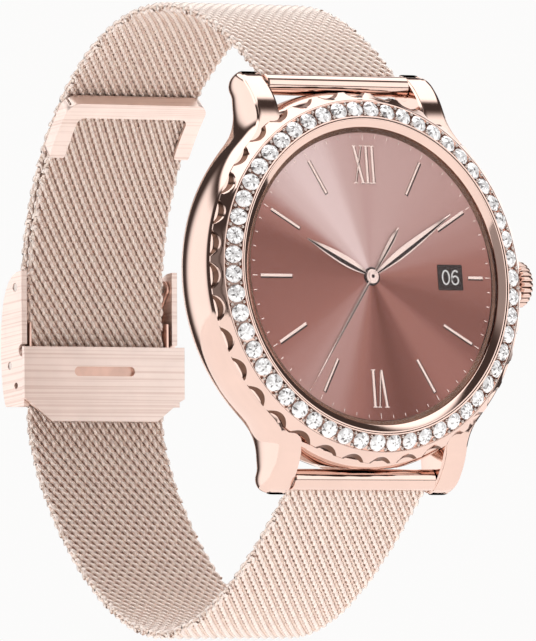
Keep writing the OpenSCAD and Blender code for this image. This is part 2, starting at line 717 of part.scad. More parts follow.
module clasp_body() color(rose_dark) at_clasp() difference() {
  union() {
    block([-flange_out, flange_out], [base_in, base_out], [-cover_down + 0.1, base_up]);
    both_sides() {
      block([flange_in, flange_out], [wall_front + 0.1, base_out], [-cover_down + 0.1, base_up]);
      translate([0, knuckle_y, knuckle_z]) rod(knuckle_r, flange_in, flange_out);
    }
  }
  translate([0, knuckle_y, knuckle_z]) rod(knuckle_pin_r + seat_gap, -cover_out, cover_out);
  for (x = [-1.5:1:1.5]) translate([x * base_hole_pitch, 0, -2])
    disc(base_hole_r, base_in - 1, base_out + 1);
}

module plate_shape() polygon([
  [-plate_half, plate_top], [plate_half, plate_top], [plate_half, plate_end + 2.5],
  [plate_half - 0.6, plate_end + 2.2], [plate_half - 3.6, plate_end],
  [-plate_half + 3.6, plate_end], [-plate_half + 0.6, plate_end + 2.2],
  [-plate_half, plate_end + 2.5]
]);

module lock_plate() color(rose) at_clasp() difference() {
  union() {
    rotate([90, 0, 0]) translate([0, 0, -skin_y]) linear_extrude(skin_t) plate_shape();
    block([-pad_half, pad_half], [skin_y - 0.01, -half_mesh - pass_gap], [slot_z - 2.6, slot_z - 1.5]);
    both_sides() {
      translate([0, knuckle_y, knuckle_z]) rod(knuckle_r, knuckle_x, flange_in - pass_gap);
      block([knuckle_x, flange_in - pass_gap], [skin_y - 0.01, knuckle_y],
        [knuckle_z - knuckle_r, knuckle_z + knuckle_r]);
    }
  }
  translate([0, knuckle_y, knuckle_z]) rod(knuckle_pin_r + run_gap, -cover_out, cover_out);
  translate([0, 0, slot_z]) {
    block([-slot_end, slot_end], [skin_y - 1, skin_y + skin_t + 0.3], [-slot_w / 2, slot_w / 2]);
    both_sides() translate([slot_end, 0, 0]) disc(slot_w / 2, skin_y - 1, skin_y + skin_t + 0.3);
  }
}

module lock_plate_pin() color(steel) at_clasp() translate([0, knuckle_y, knuckle_z])
  rod(knuckle_pin_r, -flange_out, flange_out);

case_middle();
bezel_ring();
bezel_crystals();
rehaut_ring();
cover_glass();
display_gasket();
display_panel();
display_flex();
inner_chassis();
main_board();
board_chips();
battery();
vibration_motor();
speaker();
microphone();
antenna_strip();
back_gasket();
back_cover();
sensor_window();
sensor_board();
charging_pins();
charging_magnets();
back_screws();
crown_cap();
crown_stem();
crown_encoder_disc();
crown_clip();
crown_tube();
crown_gasket();
crown_switch();
spring_bar_12();
spring_bar_6();
bar_sleeve_12();
bar_sleeve_6();
strap_12_mesh();
strap_12_end();
strap_6_mesh();
tail_cap();
clasp_cover();
cover_hinge_pins();
latch_bar();
clasp_body();
lock_plate();
lock_plate_pin();
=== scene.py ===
import json
import math
import random

import bmesh
import bpy
import numpy as np
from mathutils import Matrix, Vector, geometry

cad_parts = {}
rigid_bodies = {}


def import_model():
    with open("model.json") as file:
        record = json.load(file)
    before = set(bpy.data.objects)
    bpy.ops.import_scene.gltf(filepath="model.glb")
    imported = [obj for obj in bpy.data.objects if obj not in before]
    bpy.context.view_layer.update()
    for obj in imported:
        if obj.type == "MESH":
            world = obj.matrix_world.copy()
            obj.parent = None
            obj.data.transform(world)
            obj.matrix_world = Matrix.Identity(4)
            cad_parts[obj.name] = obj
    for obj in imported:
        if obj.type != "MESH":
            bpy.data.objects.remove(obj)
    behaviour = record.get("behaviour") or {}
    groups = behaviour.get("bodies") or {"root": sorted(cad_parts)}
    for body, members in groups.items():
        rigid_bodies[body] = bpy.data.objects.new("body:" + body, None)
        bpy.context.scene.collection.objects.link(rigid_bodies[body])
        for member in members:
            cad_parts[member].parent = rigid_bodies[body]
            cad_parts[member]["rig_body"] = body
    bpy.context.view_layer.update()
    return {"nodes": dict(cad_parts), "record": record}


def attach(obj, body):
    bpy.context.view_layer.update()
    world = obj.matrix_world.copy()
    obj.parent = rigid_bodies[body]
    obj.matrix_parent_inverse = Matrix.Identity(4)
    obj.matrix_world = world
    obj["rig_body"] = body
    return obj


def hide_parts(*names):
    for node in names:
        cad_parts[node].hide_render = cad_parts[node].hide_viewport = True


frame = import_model()
NODES = frame["nodes"]

# ---- Camera ----

CAMERA_AT = (-0.8470, -1.2557, -0.1804)
CAMERA_TURN = (96.771, 3.876, -33.759)
LENS = 787.7


def make_camera():
    data = bpy.data.cameras.new("camera")
    data.lens, data.sensor_width = LENS, 36
    data.clip_start, data.clip_end = 0.1, 10
    cam = bpy.data.objects.new("camera", data)
    cam.location = CAMERA_AT
    cam.rotation_euler = [math.radians(a) for a in CAMERA_TURN]
    bpy.context.scene.collection.objects.link(cam)
    bpy.context.scene.camera = cam


make_camera()

# ---- Sizes in mm, as in the CAD: x across, d is the depth behind the display face, z up ----

MM = 0.001
SETBACK = 31.0
GLASS_R, REHAUT_IN, REHAUT_OUT = 16.0, 16.1, 17.0
BEZEL_IN, CHANNEL_IN, CHANNEL_OUT = 17.07, 17.17, 18.97
SCALLOP_IN, BEZEL_OUT, CASE_R = 19.07, 20.07, 20.57
BEZEL_TOP, CHANNEL_DROP, SEAT, CASE_D = -0.45, 0.80, 1.6, 7.0
CHANNEL_SLOPE = math.radians(24)
GEMS, SCALLOPS = 54, 36
BAR_Z, BAR_D, LUG_IN, LUG_OUT, SLEEVE_R = 21.32, 5.2, 9.2, 12.4, 1.15
MESH_W, LAYER = 17.6, 1.25
CLASP_D, TILT = 54.9, math.radians(6.5)
CREST_12, CREST_6, LOOP_D = 32.9, 34.8, 49.7


def metres(p):
    return (p[0] * MM, (p[1] - SETBACK) * MM, p[2] * MM)


# ---- Materials ----


def new_material(name):
    mat = bpy.data.materials.new(name)
    mat.use_nodes = True
    tree = mat.node_tree
    return mat, tree, tree.nodes["Principled BSDF"]


def add(tree, kind, inputs=None, **settings):
    node = tree.nodes.new(kind)
    for key, value in settings.items():
        setattr(node, key, value)
    for key, value in (inputs or {}).items():
        if isinstance(value, bpy.types.NodeSocket):
            tree.links.new(value, node.inputs[key])
        else:
            node.inputs[key].default_value = value
    return node


def object_point(tree, stretch=(1, 1, 1)):
    co = add(tree, "ShaderNodeTexCoord")
    scaled = add(tree, "ShaderNodeVectorMath", {0: co.outputs["Object"], 1: stretch}, operation="MULTIPLY")
    return scaled.outputs[0]


def noise(tree, point, scale, detail=3.0):
    node = add(tree, "ShaderNodeTexNoise", {"Vector": point, "Scale": scale, "Detail": detail})
    return node.outputs["Fac"]


def ramp(tree, fac, stops, interpolation="LINEAR"):
    node = add(tree, "ShaderNodeValToRGB", {"Fac": fac})
    node.color_ramp.interpolation = interpolation
    els = node.color_ramp.elements
    while len(els) < len(stops):
        els.new(0.5)
    for el, (pos, col) in zip(els, stops):
        el.position = pos
        el.color = (*col, 1) if len(col) == 3 else col
    return node.outputs["Color"]


def spread(tree, fac, low, high):
    return add(tree, "ShaderNodeMapRange", {"Value": fac, "To Min": low, "To Max": high}).outputs["Result"]


def bump(tree, bsdf, height, strength, distance):
    node = add(tree, "ShaderNodeBump", {"Height": height, "Strength": strength, "Distance": distance})
    tree.links.new(node.outputs["Normal"], bsdf.inputs["Normal"])


def shade(col, k):
    return tuple(min(1.0, c * k) for c in col)


def surface(name, col, metallic, rough, patch=900, wear=0.05, grain=None, grain_bump=0.1, depth=2e-5):
    """Base colour with soft patches, roughness that varies, and a grain: (stretch, scale) or none."""
    mat, tree, bsdf = new_material(name)
    point = object_point(tree)
    patches = noise(tree, point, patch)
    col_out = ramp(tree, patches, [(0.3, shade(col, 1 - wear)), (0.7, shade(col, 1 + wear))])
    fine = noise(tree, object_point(tree, grain[0]) if grain else point, grain[1] if grain else 2500, 4.0)
    if grain:
        lines = ramp(tree, fine, [(0.36, (0.86, 0.80, 0.78)), (0.50, (1, 1, 1))])
        tone = add(tree, "ShaderNodeMix", {"Factor": 1.0, 6: col_out, 7: lines}, data_type="RGBA",
                   blend_type="MULTIPLY")
        col_out = tone.outputs[2]
    tree.links.new(col_out, bsdf.inputs["Base Color"])
    bsdf.inputs["Metallic"].default_value = metallic
    tree.links.new(spread(tree, fine, rough[0], rough[1]), bsdf.inputs["Roughness"])
    bump(tree, bsdf, fine, grain_bump, depth)
    return mat


ROSE = (0.78, 0.575, 0.50)
STROKES = ((0.004, 0.004, 1), 5200)
MATS = {name: surface(name, *looks) for name, looks in {
    "rose_gold_polished": (ROSE, 1, (0.04, 0.10), 150, 0.03, None, 0.02),
    "rose_gold_mesh": ((0.98, 0.82, 0.75), 0.35, (0.18, 0.30), 1500, 0.08, None, 0.2),
    "rose_gold_brushed": ((0.94, 0.78, 0.71), 0.85, (0.30, 0.48), 300, 0.04, STROKES, 0.5),
    "rose_gold_satin": ((0.78, 0.52, 0.43), 1, (0.25, 0.40), 600, 0.08, None, 0.2),
    "steel": ((0.64, 0.56, 0.52), 1, (0.18, 0.34), 900, 0.06, None, 0.15),
    "board": ((0.02, 0.10, 0.05), 0, (0.35, 0.55), 1200, 0.2, None, 0.2),
    "battery_foil": ((0.55, 0.56, 0.60), 0.8, (0.3, 0.5), 700, 0.1, None, 0.4, 4e-5),
    "black_plastic": ((0.02, 0.02, 0.022), 0, (0.4, 0.6), 900, 0.3, None, 0.3),
    "black_rubber": ((0.015, 0.014, 0.014), 0, (0.6, 0.8), 900, 0.3, None, 0.3),
    "dark_glass": ((0.012, 0.009, 0.010), 0, (0.03, 0.07), 500, 0.3, None, 0.01),
    "flex_film": ((0.45, 0.22, 0.04), 0, (0.3, 0.45), 800, 0.15, None, 0.2),
    "gold_contacts": ((0.85, 0.60, 0.22), 1, (0.12, 0.25), 900, 0.06, None, 0.1),
}.items()}
# A dark strip inside the weave stands for the shade between the wires: painted shade.
MESH_SHADE_CORE = surface("mesh_painted_shade_core", (0.56, 0.38, 0.31), 0.3, (0.5, 0.7), 1500, 0.2, None, 0.3)
MESH_HEART = surface("mesh_heart", (1.0, 0.78, 0.69), 0.3, (0.30, 0.45), 1500, 0.12, None, 0.25)
HAND_DARK = surface("hand_dark", (0.035, 0.014, 0.010), 0, (0.55, 0.7), 900, 0.15, None, 0.1)
# Dark rose gold as painted shade: it darkens the bezel's scoops, the crown's flute gaps and the groove
# round the display face.
PAINTED_SHADE_METAL = surface("rose_gold_painted_shade", (0.16, 0.085, 0.06), 1, (0.12, 0.25), 900, 0.15, None, 0.1)
HAND_LIGHT = surface("hand_light", (0.95, 0.74, 0.67), 0.6, (0.18, 0.28), 900, 0.04, None, 0.05)
DATE_WHITE = surface("date_white", (0.9, 0.87, 0.86), 0, (0.35, 0.5), 900, 0.03, None, 0.05)


def crystal_material():
    mat, tree, bsdf = new_material("crystal")
    # Each face's grey level stands in for the stone's inner reflections: painted reflections, from near
    # black to white.
    facet_reflection = add(tree, "ShaderNodeAttribute", attribute_name="facet_reflection").outputs["Fac"]
    cloud = noise(tree, object_point(tree), 3500, 2.0)
    mixed = add(tree, "ShaderNodeMath", {0: facet_reflection, 1: spread(tree, cloud, -0.25, 0.25)}, operation="ADD")
    tree.links.new(
        ramp(tree, mixed.outputs[0], [(0.0, (0.10, 0.085, 0.085)), (0.16, (0.70, 0.68, 0.68)),
                                      (0.30, (0.97, 0.97, 0.98)), (1.0, (1, 1, 1))]),
        bsdf.inputs["Base Color"])
    bsdf.inputs["Metallic"].default_value = 0.25
    tree.links.new(spread(tree, cloud, 0.02, 0.09), bsdf.inputs["Roughness"])
    bsdf.inputs["Coat Weight"].default_value = 0.6
    # A faint white glow on the stones: painted light.
    bsdf.inputs["Emission Color"].default_value = (1, 1, 1, 1)
    bsdf.inputs["Emission Strength"].default_value = 0.06
    return mat


def glass_material():
    mat, tree, bsdf = new_material("cover_glass")
    smear = noise(tree, object_point(tree), 120, 2.0)
    tree.links.new(spread(tree, smear, 0.01, 0.04), bsdf.inputs["Roughness"])
    bsdf.inputs["Base Color"].default_value = (0.12, 0.13, 0.15, 1)
    bsdf.inputs["Alpha"].default_value = 0.06
    return mat


# Shines of the sunburst: clock angle in degrees, half width in degrees, strength
SHINES = ((15, 100, 0.63), (80, 55, 0.20), (138, 26, 0.36), (208, 42, 0.45), (250, 60, 0.24),
          (322, 37, 0.72))
DIAL_DEEP, DIAL_WARM, DIAL_PALE = (0.15, 0.045, 0.03), (0.38, 0.16, 0.13), (0.80, 0.60, 0.58)
DIAL_BASE, WARM_LEVEL, BURST_STEPS = 0.06, 0.4, 30
DISPLAY_GLOW = 0.30


def blend(a, b, share):
    return tuple(x + (y - x) * share for x, y in zip(a, b))


def burst_tone(clock):
    """The dial's colour at a clock angle: deep, then warm, then pale as the shines add up."""
    level = DIAL_BASE
    for middle, half, strength in SHINES:
        away = abs((clock - middle + 180) % 360 - 180) / half
        level += strength * math.cos(math.pi / 2 * min(1, away)) ** 2
    if level < WARM_LEVEL:
        return blend(DIAL_DEEP, DIAL_WARM, level / WARM_LEVEL)
    return blend(DIAL_WARM, DIAL_PALE, min(1, (level - WARM_LEVEL) / (1 - WARM_LEVEL)))


def display_material():
    """A lit panel that shows a sunburst face: the tone turns with the angle, with fine radial streaks."""
    mat, tree, bsdf = new_material("display")
    co = add(tree, "ShaderNodeTexCoord").outputs["Object"]
    axes = add(tree, "ShaderNodeSeparateXYZ", {0: co})
    turn = add(tree, "ShaderNodeMath", {0: axes.outputs["X"], 1: axes.outputs["Z"]}, operation="ARCTAN2")
    share = add(tree, "ShaderNodeMath", {0: turn.outputs[0], 1: 1 / (2 * math.pi), 2: 0.0},
                operation="MULTIPLY_ADD")
    wrapped = add(tree, "ShaderNodeMath", {0: share.outputs[0], 1: 1.0}, operation="FLOORED_MODULO")
    stops = [(k / BURST_STEPS, burst_tone(360 * k / BURST_STEPS)) for k in range(BURST_STEPS + 1)]
    burst = ramp(tree, wrapped.outputs[0], stops, "EASE")
    streak_at = add(tree, "ShaderNodeCombineXYZ", {"X": wrapped.outputs[0]})
    streaks = noise(tree, streak_at.outputs[0], 700, 4.0)
    tone = add(tree, "ShaderNodeMix", {"Factor": 1.0, 6: burst}, data_type="RGBA", blend_type="MULTIPLY")
    grey = ramp(tree, streaks, [(0.25, (0.86, 0.86, 0.86)), (0.75, (1.0, 1.0, 1.0))])
    tree.links.new(grey, tone.inputs[7])
    tree.links.new(tone.outputs[2], bsdf.inputs["Base Color"])
    tree.links.new(tone.outputs[2], bsdf.inputs["Emission Color"])
    bsdf.inputs["Emission Strength"].default_value = DISPLAY_GLOW
    bsdf.inputs["Roughness"].default_value = 0.5
    bsdf.inputs["Specular IOR Level"].default_value = 0.1
    return mat


MATS["crystal"] = crystal_material()
MATS["cover_glass"] = glass_material()
MATS["display"] = display_material()

# ---- Mesh helpers ----


def piece(name, verts, faces, mats, body, nodes=(), sharp=32, mat_of=None):
    mesh = bpy.data.meshes.new(name)
    mesh.from_pydata([metres(v) for v in verts], [], faces)
    return finish_piece(name, mesh, mats, body, nodes, sharp, mat_of)


def finish_piece(name, mesh, mats, body, nodes=(), sharp=32, mat_of=None, fix_normals=True):
    if fix_normals:
        bm = bmesh.new()
        bm.from_mesh(mesh)
        bmesh.ops.recalc_face_normals(bm, faces=bm.faces)
        bm.to_mesh(mesh)
        bm.free()
    mesh.materials.clear()
    for m in mats if isinstance(mats, list) else [mats]:
        mesh.materials.append(m)
    if mat_of is not None:
        mesh.polygons.foreach_set("material_index", mat_of)
    mesh.shade_smooth()
    mesh.set_sharp_from_angle(angle=math.radians(sharp))
    ob = bpy.data.objects.new(name, mesh)
    bpy.context.scene.collection.objects.link(ob)
    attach(ob, body)
    if nodes:
        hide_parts(*nodes)
    return ob


def grid_faces(rows, cols, wrap_rows=False, wrap_cols=False, base=0):
    out = []
    for i in range(rows if wrap_rows else rows - 1):
        for j in range(cols if wrap_cols else cols - 1):
            i2, j2 = (i + 1) % rows, (j + 1) % cols
            row, nxt = base + i * cols, base + i2 * cols
            out.append((row + j, nxt + j, nxt + j2, row + j2))
    return out


def turned(profile, n=256):
    """Closed ring about the display's axis from a closed profile of (radius, depth)."""
    verts = []
    for i in range(n):
        a = 2 * math.pi * i / n
        verts += [(r * math.sin(a), d, r * math.cos(a)) for r, d in profile]
    return verts, grid_faces(n, len(profile), True, True)


def lathe_x(profile, z, n=64, radius=None):
    """Closed surface about an axis along X at the bars' depth; profile of (x, radius)."""
    verts = []
    for i in range(n):
        a = 2 * math.pi * i / n
        for x, r in profile:
            rr = radius(x, r, a) if radius else r
            verts.append((x, BAR_D + rr * math.cos(a), z + rr * math.sin(a)))
    faces = grid_faces(n, len(profile), True, False)
    for k in (0, len(profile) - 1):
        faces.append(tuple(i * len(profile) + k for i in range(n)))
    return verts, faces


def bezier(p, n):
    p = [np.array(q, float) for q in p]
    t = np.linspace(0, 1, n + 1)[:, None]
    return (1 - t) ** 3 * p[0] + 3 * (1 - t) ** 2 * t * p[1] + 3 * (1 - t) * t * t * p[2] + t ** 3 * p[3]


def rounded(profile, r, steps=3):
    """Closed profile with each corner cut by a short arc-like curve of size r."""
    out = []
    n = len(profile)
    for i in range(n):
        a, b, c = (np.array(profile[(i + k) % n], float) for k in (-1, 0, 1))
        u, v = a - b, c - b
        k = min(r, 0.45 * np.linalg.norm(u), 0.45 * np.linalg.norm(v))
        u, v = u / np.linalg.norm(u) * k, v / np.linalg.norm(v) * k
        for s in range(steps + 1):
            t = s / steps
            out.append(tuple((1 - t) ** 2 * (b + u) + 2 * t * (1 - t) * b + t * t * (b + v)))
    return out


def refined(node, mat, width, segments=2, angle=38):
    """A piece with the CAD node's shape and its edges rounded."""
    source = NODES[node]
    mesh = source.data.copy()
    bm = bmesh.new()
    bm.from_mesh(mesh)
    bmesh.ops.remove_doubles(bm, verts=bm.verts, dist=2e-6)
    bmesh.ops.dissolve_limit(bm, angle_limit=math.radians(1.5), verts=bm.verts, edges=bm.edges)
    edges = [e for e in bm.edges if len(e.link_faces) == 2 and e.calc_face_angle(0) > math.radians(angle)]
    bmesh.ops.bevel(bm, geom=edges, offset=width * MM, segments=segments, profile=0.5, affect="EDGES",
                    clamp_overlap=True)
    bm.to_mesh(mesh)
    bm.free()
    ob = finish_piece(node + "_skin", mesh, mat, source["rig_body"], (node,))
    even = ob.modifiers.new("even_normals", "WEIGHTED_NORMAL")
    even.keep_sharp = True
    even.weight = 100
    return ob


# ---- Case with its lugs ----

LUG_FRONT = bezier([(SEAT, 14.4), (SEAT, BAR_Z - 3.4), (3.0, BAR_Z - 0.8), (5.0, BAR_Z + 0.85)], 40)
LUG_TIP = bezier([(5.0, BAR_Z + 0.85), (6.0, BAR_Z + 1.8), (7.5, BAR_Z + 1.2), (7.5, BAR_Z - 0.4)], 40)
TIP_TOP = int(np.argmax(LUG_TIP[:, 1]))
FRONT_LINE = np.vstack([[(SEAT, 0)], LUG_FRONT, LUG_TIP[1:TIP_TOP + 1]])
REAR_LINE = np.vstack([[(CASE_D, 0)], [(CASE_D, 20.07)], LUG_TIP[::-1][:40 - TIP_TOP + 1]])


def front_depth(z):
    return float(np.interp(abs(z), FRONT_LINE[:, 1], FRONT_LINE[:, 0]))


def rear_depth(z):
    return float(np.interp(abs(z), REAR_LINE[:, 1], REAR_LINE[:, 0]))


def quarter_outline():
    """From 3 o'clock to 12, with how much of the flank's swell each point takes."""
    pts = []
    flare = math.radians(41.5)
    for i in range(60):
        a = flare * i / 60
        pts.append((CASE_R * math.cos(a), CASE_R * math.sin(a), 1.0))
    f = np.array([CASE_R * math.cos(flare), CASE_R * math.sin(flare)])
    t = np.array([-math.sin(flare), math.cos(flare)])
    side = bezier([f, f + 2.4 * t, (LUG_OUT, BAR_Z - 5.2), (LUG_OUT, BAR_Z - 2.6)], 26)
    pts += [(x, z, 1.0 - 0.45 * i / 26) for i, (x, z) in enumerate(side[:-1])]
    pts += [(LUG_OUT, BAR_Z - 2.6 + 2.4 * i / 8, 0.55) for i in range(8)]
    corner = bezier([(LUG_OUT, BAR_Z - 0.2), (LUG_OUT, BAR_Z + 0.9), (LUG_OUT - 0.4, BAR_Z + 1.5),
                     (LUG_OUT - 1.4, BAR_Z + 1.5)], 12)
    pts += [(x, z, 0.55 - 0.25 * i / 12) for i, (x, z) in enumerate(corner)]
    pts += [(LUG_OUT - 1.4 - i * 0.4, BAR_Z + 1.5, 0.3) for i in range(1, 4)]
    inner = bezier([(LUG_IN + 0.35, BAR_Z + 1.5), (LUG_IN + 0.1, BAR_Z + 1.5), (LUG_IN, BAR_Z + 1.4),
                    (LUG_IN, BAR_Z + 1.1)], 5)
    pts += [(x, z, 0.15) for x, z in inner]
    root = math.sqrt(CASE_R ** 2 - LUG_IN ** 2)
    pts += [(LUG_IN, BAR_Z + 1.1 + (root - BAR_Z - 1.1) * i / 12, 0.1) for i in range(1, 12)]
    a0 = math.asin(LUG_IN / CASE_R)
    pts += [(CASE_R * math.sin(a), CASE_R * math.cos(a), 1.0) for a in np.linspace(a0, 0, 24)]
    return pts


def case_outline():
    q = quarter_outline()
    right_low = [(x, -z, w) for x, z, w in q[::-1]]
    ring = q[:-1] + [(-x, z, w) for x, z, w in q[::-1]][:-1]
    ring += [(-x, -z, w) for x, z, w in q][:-1] + right_low[:-1]
    return ring


FLANK = bezier([(0.50, 0.0), (-0.15, 0.185), (-0.35, 0.74), (0.60, 1.0)], 18)


def make_case():
    ring = case_outline()
    n = len(ring)
    xy = np.array([(x, z) for x, z, _ in ring])
    along = np.roll(xy, -1, 0) - np.roll(xy, 1, 0)
    along /= np.linalg.norm(along, axis=1)[:, None]
    normal = np.stack([along[:, 1], -along[:, 0]], 1)
    rows = [(FLANK[0][0] + 0.16, 0.0, -0.02), (FLANK[0][0] + 0.05, 0.0, 0.0), (FLANK[0][0], 0.0, 0.06)]
    rows += [(i, s, 0.0) for i, s in FLANK[1:]]
    rows += [(FLANK[-1][0] + 0.7, 1.0, 0.0)]
    verts = []
    for inset, share, extra in rows:
        for k in range(n):
            weight = ring[k][2]
            edge = rows[1][0] * (1 - weight) * 0.55 if inset > 0 else 0
            off = inset * weight + (edge if share < 0.02 else 0)
            x, z = xy[k] - normal[k] * off
            front, rear = front_depth(z), rear_depth(z)
            d = front + (rear - front) * share + extra
            if abs(x) < LUG_IN and abs(d - BAR_D) < 1.5:
                limit = BAR_Z - math.sqrt(1.5 ** 2 - (d - BAR_D) ** 2)
                z = max(-limit, min(limit, z))
            verts.append((x, d, z))
    faces = grid_faces(len(rows), n, False, True)
    front_face(verts, faces, n)
    return piece("case_shell", verts, faces, MATS["rose_gold_polished"], "case",
                 ("case_middle",), sharp=28)


def front_face(verts, faces, n):
    """Fills the flat front between the outline and the bezel's seat, following the lugs' slope."""
    inner_r, m = 19.6, 200
    loop = [Vector((v[0], v[2])) for v in verts[:n]]
    hole = [Vector((inner_r * math.cos(2 * math.pi * i / m), inner_r * math.sin(2 * math.pi * i / m)))
            for i in range(m)]
    fill = []
    step = 0.45
    for i in range(-32, 33):
        for j in range(24, 52):
            for s in (-1, 1):
                p = Vector((i * step, s * j * step))
                if p.length > inner_r + 0.3 and abs(p.x) > LUG_IN + 0.3 and abs(p.x) < LUG_OUT + 2.5:
                    fill.append(p)
    pts = loop + hole + fill
    edges = [(i, (i + 1) % n) for i in range(n)] + [(n + i, n + (i + 1) % m) for i in range(m)]
    out_v, _, out_f, orig, _, _ = geometry.delaunay_2d_cdt(pts, edges, [], 0, 1e-5)
    index = {}
    for k, v in enumerate(out_v):
        known = [o for o in orig[k] if o < n]
        if known:
            index[k] = known[0]
        else:
            index[k] = len(verts)
            verts.append((v.x, front_depth(v.y) - 0.02, v.y))
    outline = np.array([(p.x, p.y) for p in loop])
    for f in out_f:
        c = sum((out_v[k] for k in f), Vector((0, 0))) / 3
        if c.length > inner_r and inside(outline, c):
            faces.append(tuple(index[k] for k in f))


def inside(poly, p):
    x, y = poly[:, 0], poly[:, 1]
    x2, y2 = np.roll(x, -1), np.roll(y, -1)
    hit = (y > p.y) != (y2 > p.y)
    with np.errstate(divide="ignore", invalid="ignore"):
        cross = (x2 - x) * (p.y - y) / (y2 - y) + x
    return bool(np.count_nonzero(hit & (p.x < cross)) % 2)


make_case()

# ---- Bezel: rims, crystal channel and scalloped chamfer ----

SCOOP_R, SCOOP_AT = 1.75, BEZEL_OUT + 1.0


def scoop_line(a):
    """Radius left by the scoop at this angle from its middle, at the chamfer and at its foot."""
    inside_root = SCOOP_R ** 2 - (SCOOP_AT * math.sin(a)) ** 2
    if inside_root <= 0:
        return BEZEL_OUT
    return min(BEZEL_OUT, SCOOP_AT * math.cos(a) - math.sqrt(inside_root))


def make_bezel():
    edge = math.acos((BEZEL_OUT ** 2 + SCOOP_AT ** 2 - SCOOP_R ** 2) / (2 * BEZEL_OUT * SCOOP_AT))
    pitch = 2 * math.pi / SCALLOPS
    angles = []
    for i in range(SCALLOPS):
        mid = i * pitch
        angles += [(mid + edge * k / 9, edge * k / 9) for k in range(-9, 10)]
        gap = pitch - 2 * edge
        angles += [(mid + edge + gap * k / 6, None) for k in range(1, 6)]
    chamfer_top = BEZEL_TOP + CHANNEL_DROP + 0.05
    lead = rounded([(BEZEL_IN, SEAT), (BEZEL_IN, BEZEL_TOP), (CHANNEL_IN + 0.08, BEZEL_TOP),
                    (CHANNEL_IN + 0.12, BEZEL_TOP + 0.5),
                    (CHANNEL_OUT - 0.1, BEZEL_TOP + CHANNEL_DROP + 0.5),
                    (CHANNEL_OUT - 0.05, chamfer_top - 0.05), (SCALLOP_IN + 0.05, chamfer_top),
                    (20.0, 1.4)],
                   0.06)[4:-5]
    verts, cols = [], 0
    for a, local in angles:
        low = BEZEL_OUT if local is None else scoop_line(local)
        foot = min(BEZEL_OUT, low + 0.35)
        row = [(BEZEL_IN, SEAT)] + lead
        start = SCALLOP_IN + 0.12
        for k in range(1, 6):
            r = start + (low - start) * k / 5
            row.append((r, chamfer_top + (r - SCALLOP_IN)))
        top = row[-1][1]
        for k in range(1, 5):
            row.append((low + (foot - low) * k / 4, top + (SEAT - 0.03 - top) * k / 4))
        row.append((BEZEL_OUT - 0.4, SEAT))
        cols = len(row)
        verts += [(r * math.sin(a), d, r * math.cos(a)) for r, d in row]
    faces = grid_faces(len(angles), cols, True, True)
    # The scoop faces take the dark metal: painted shade in the scallops' hollows.
    scoop = range(len(lead) + 6, cols - 1)
    tone = [int(k % cols in scoop and angles[k // cols][1] is not None) for k in range(len(faces))]
    return piece("bezel_scalloped", verts, faces, [MATS["rose_gold_polished"], PAINTED_SHADE_METAL], "case",
                 ("bezel_ring",), 24, tone)


make_bezel()


GEM_R, BEAD_R = 0.95, 0.19
# Grey levels of the painted reflections on the stones' faces.
FACET_REFLECTION_TONES = (0.05, 0.3, 0.6, 0.75, 0.9, 1.0)


def gem_mesh(rng, centre, out, up, side, r):
    """One brilliant: broken table, star and kite facets, girdle. Returns its points and faces."""
    twist = rng.uniform(0, math.pi / 4)
    lean = rng.uniform(-0.06, 0.06), rng.uniform(-0.06, 0.06)

    def at(radius, ang, h):
        x, y = radius * math.cos(ang + twist), radius * math.sin(ang + twist)
        return centre + out * x + side * y + up * (h + lean[0] * x + lean[1] * y)

    pts = [at(0, 0, 0.30 + rng.uniform(-0.02, 0.02))]
    step = math.pi / 4
    pts += [at(r * 0.30, i * step, 0.33 + rng.uniform(-0.03, 0.03)) for i in range(8)]
    pts += [at(r * 0.58, (i + 0.5) * step, 0.31) for i in range(8)]
    pts += [at(r * 0.80, i * step, 0.17) for i in range(8)]
    pts += [at(r, i * step / 2, -0.02) for i in range(16)]
    pts += [at(r * 0.97, i * step / 2, -0.14) for i in range(16)]
    pts.append(at(0, 0, -0.6))
    faces = []
    for i in range(8):
        j = (i + 1) % 8
        faces += [(0, 1 + i, 1 + j), (1 + i, 9 + i, 1 + j), (9 + i, 17 + j, 1 + j), (1 + j, 17 + j, 9 + j)]
        faces += [(17 + i, 25 + 2 * i, 25 + 2 * i + 1), (17 + i, 25 + 2 * i + 1, 9 + i),
                  (9 + i, 25 + 2 * i + 1, 17 + j), (17 + j, 25 + 2 * i + 1, 25 + (2 * i + 2) % 16)]
    for i in range(16):
        j = (i + 1) % 16
        faces += [(25 + i, 41 + i, 41 + j, 25 + j), (41 + i, 57, 41 + j)]
    return pts, faces


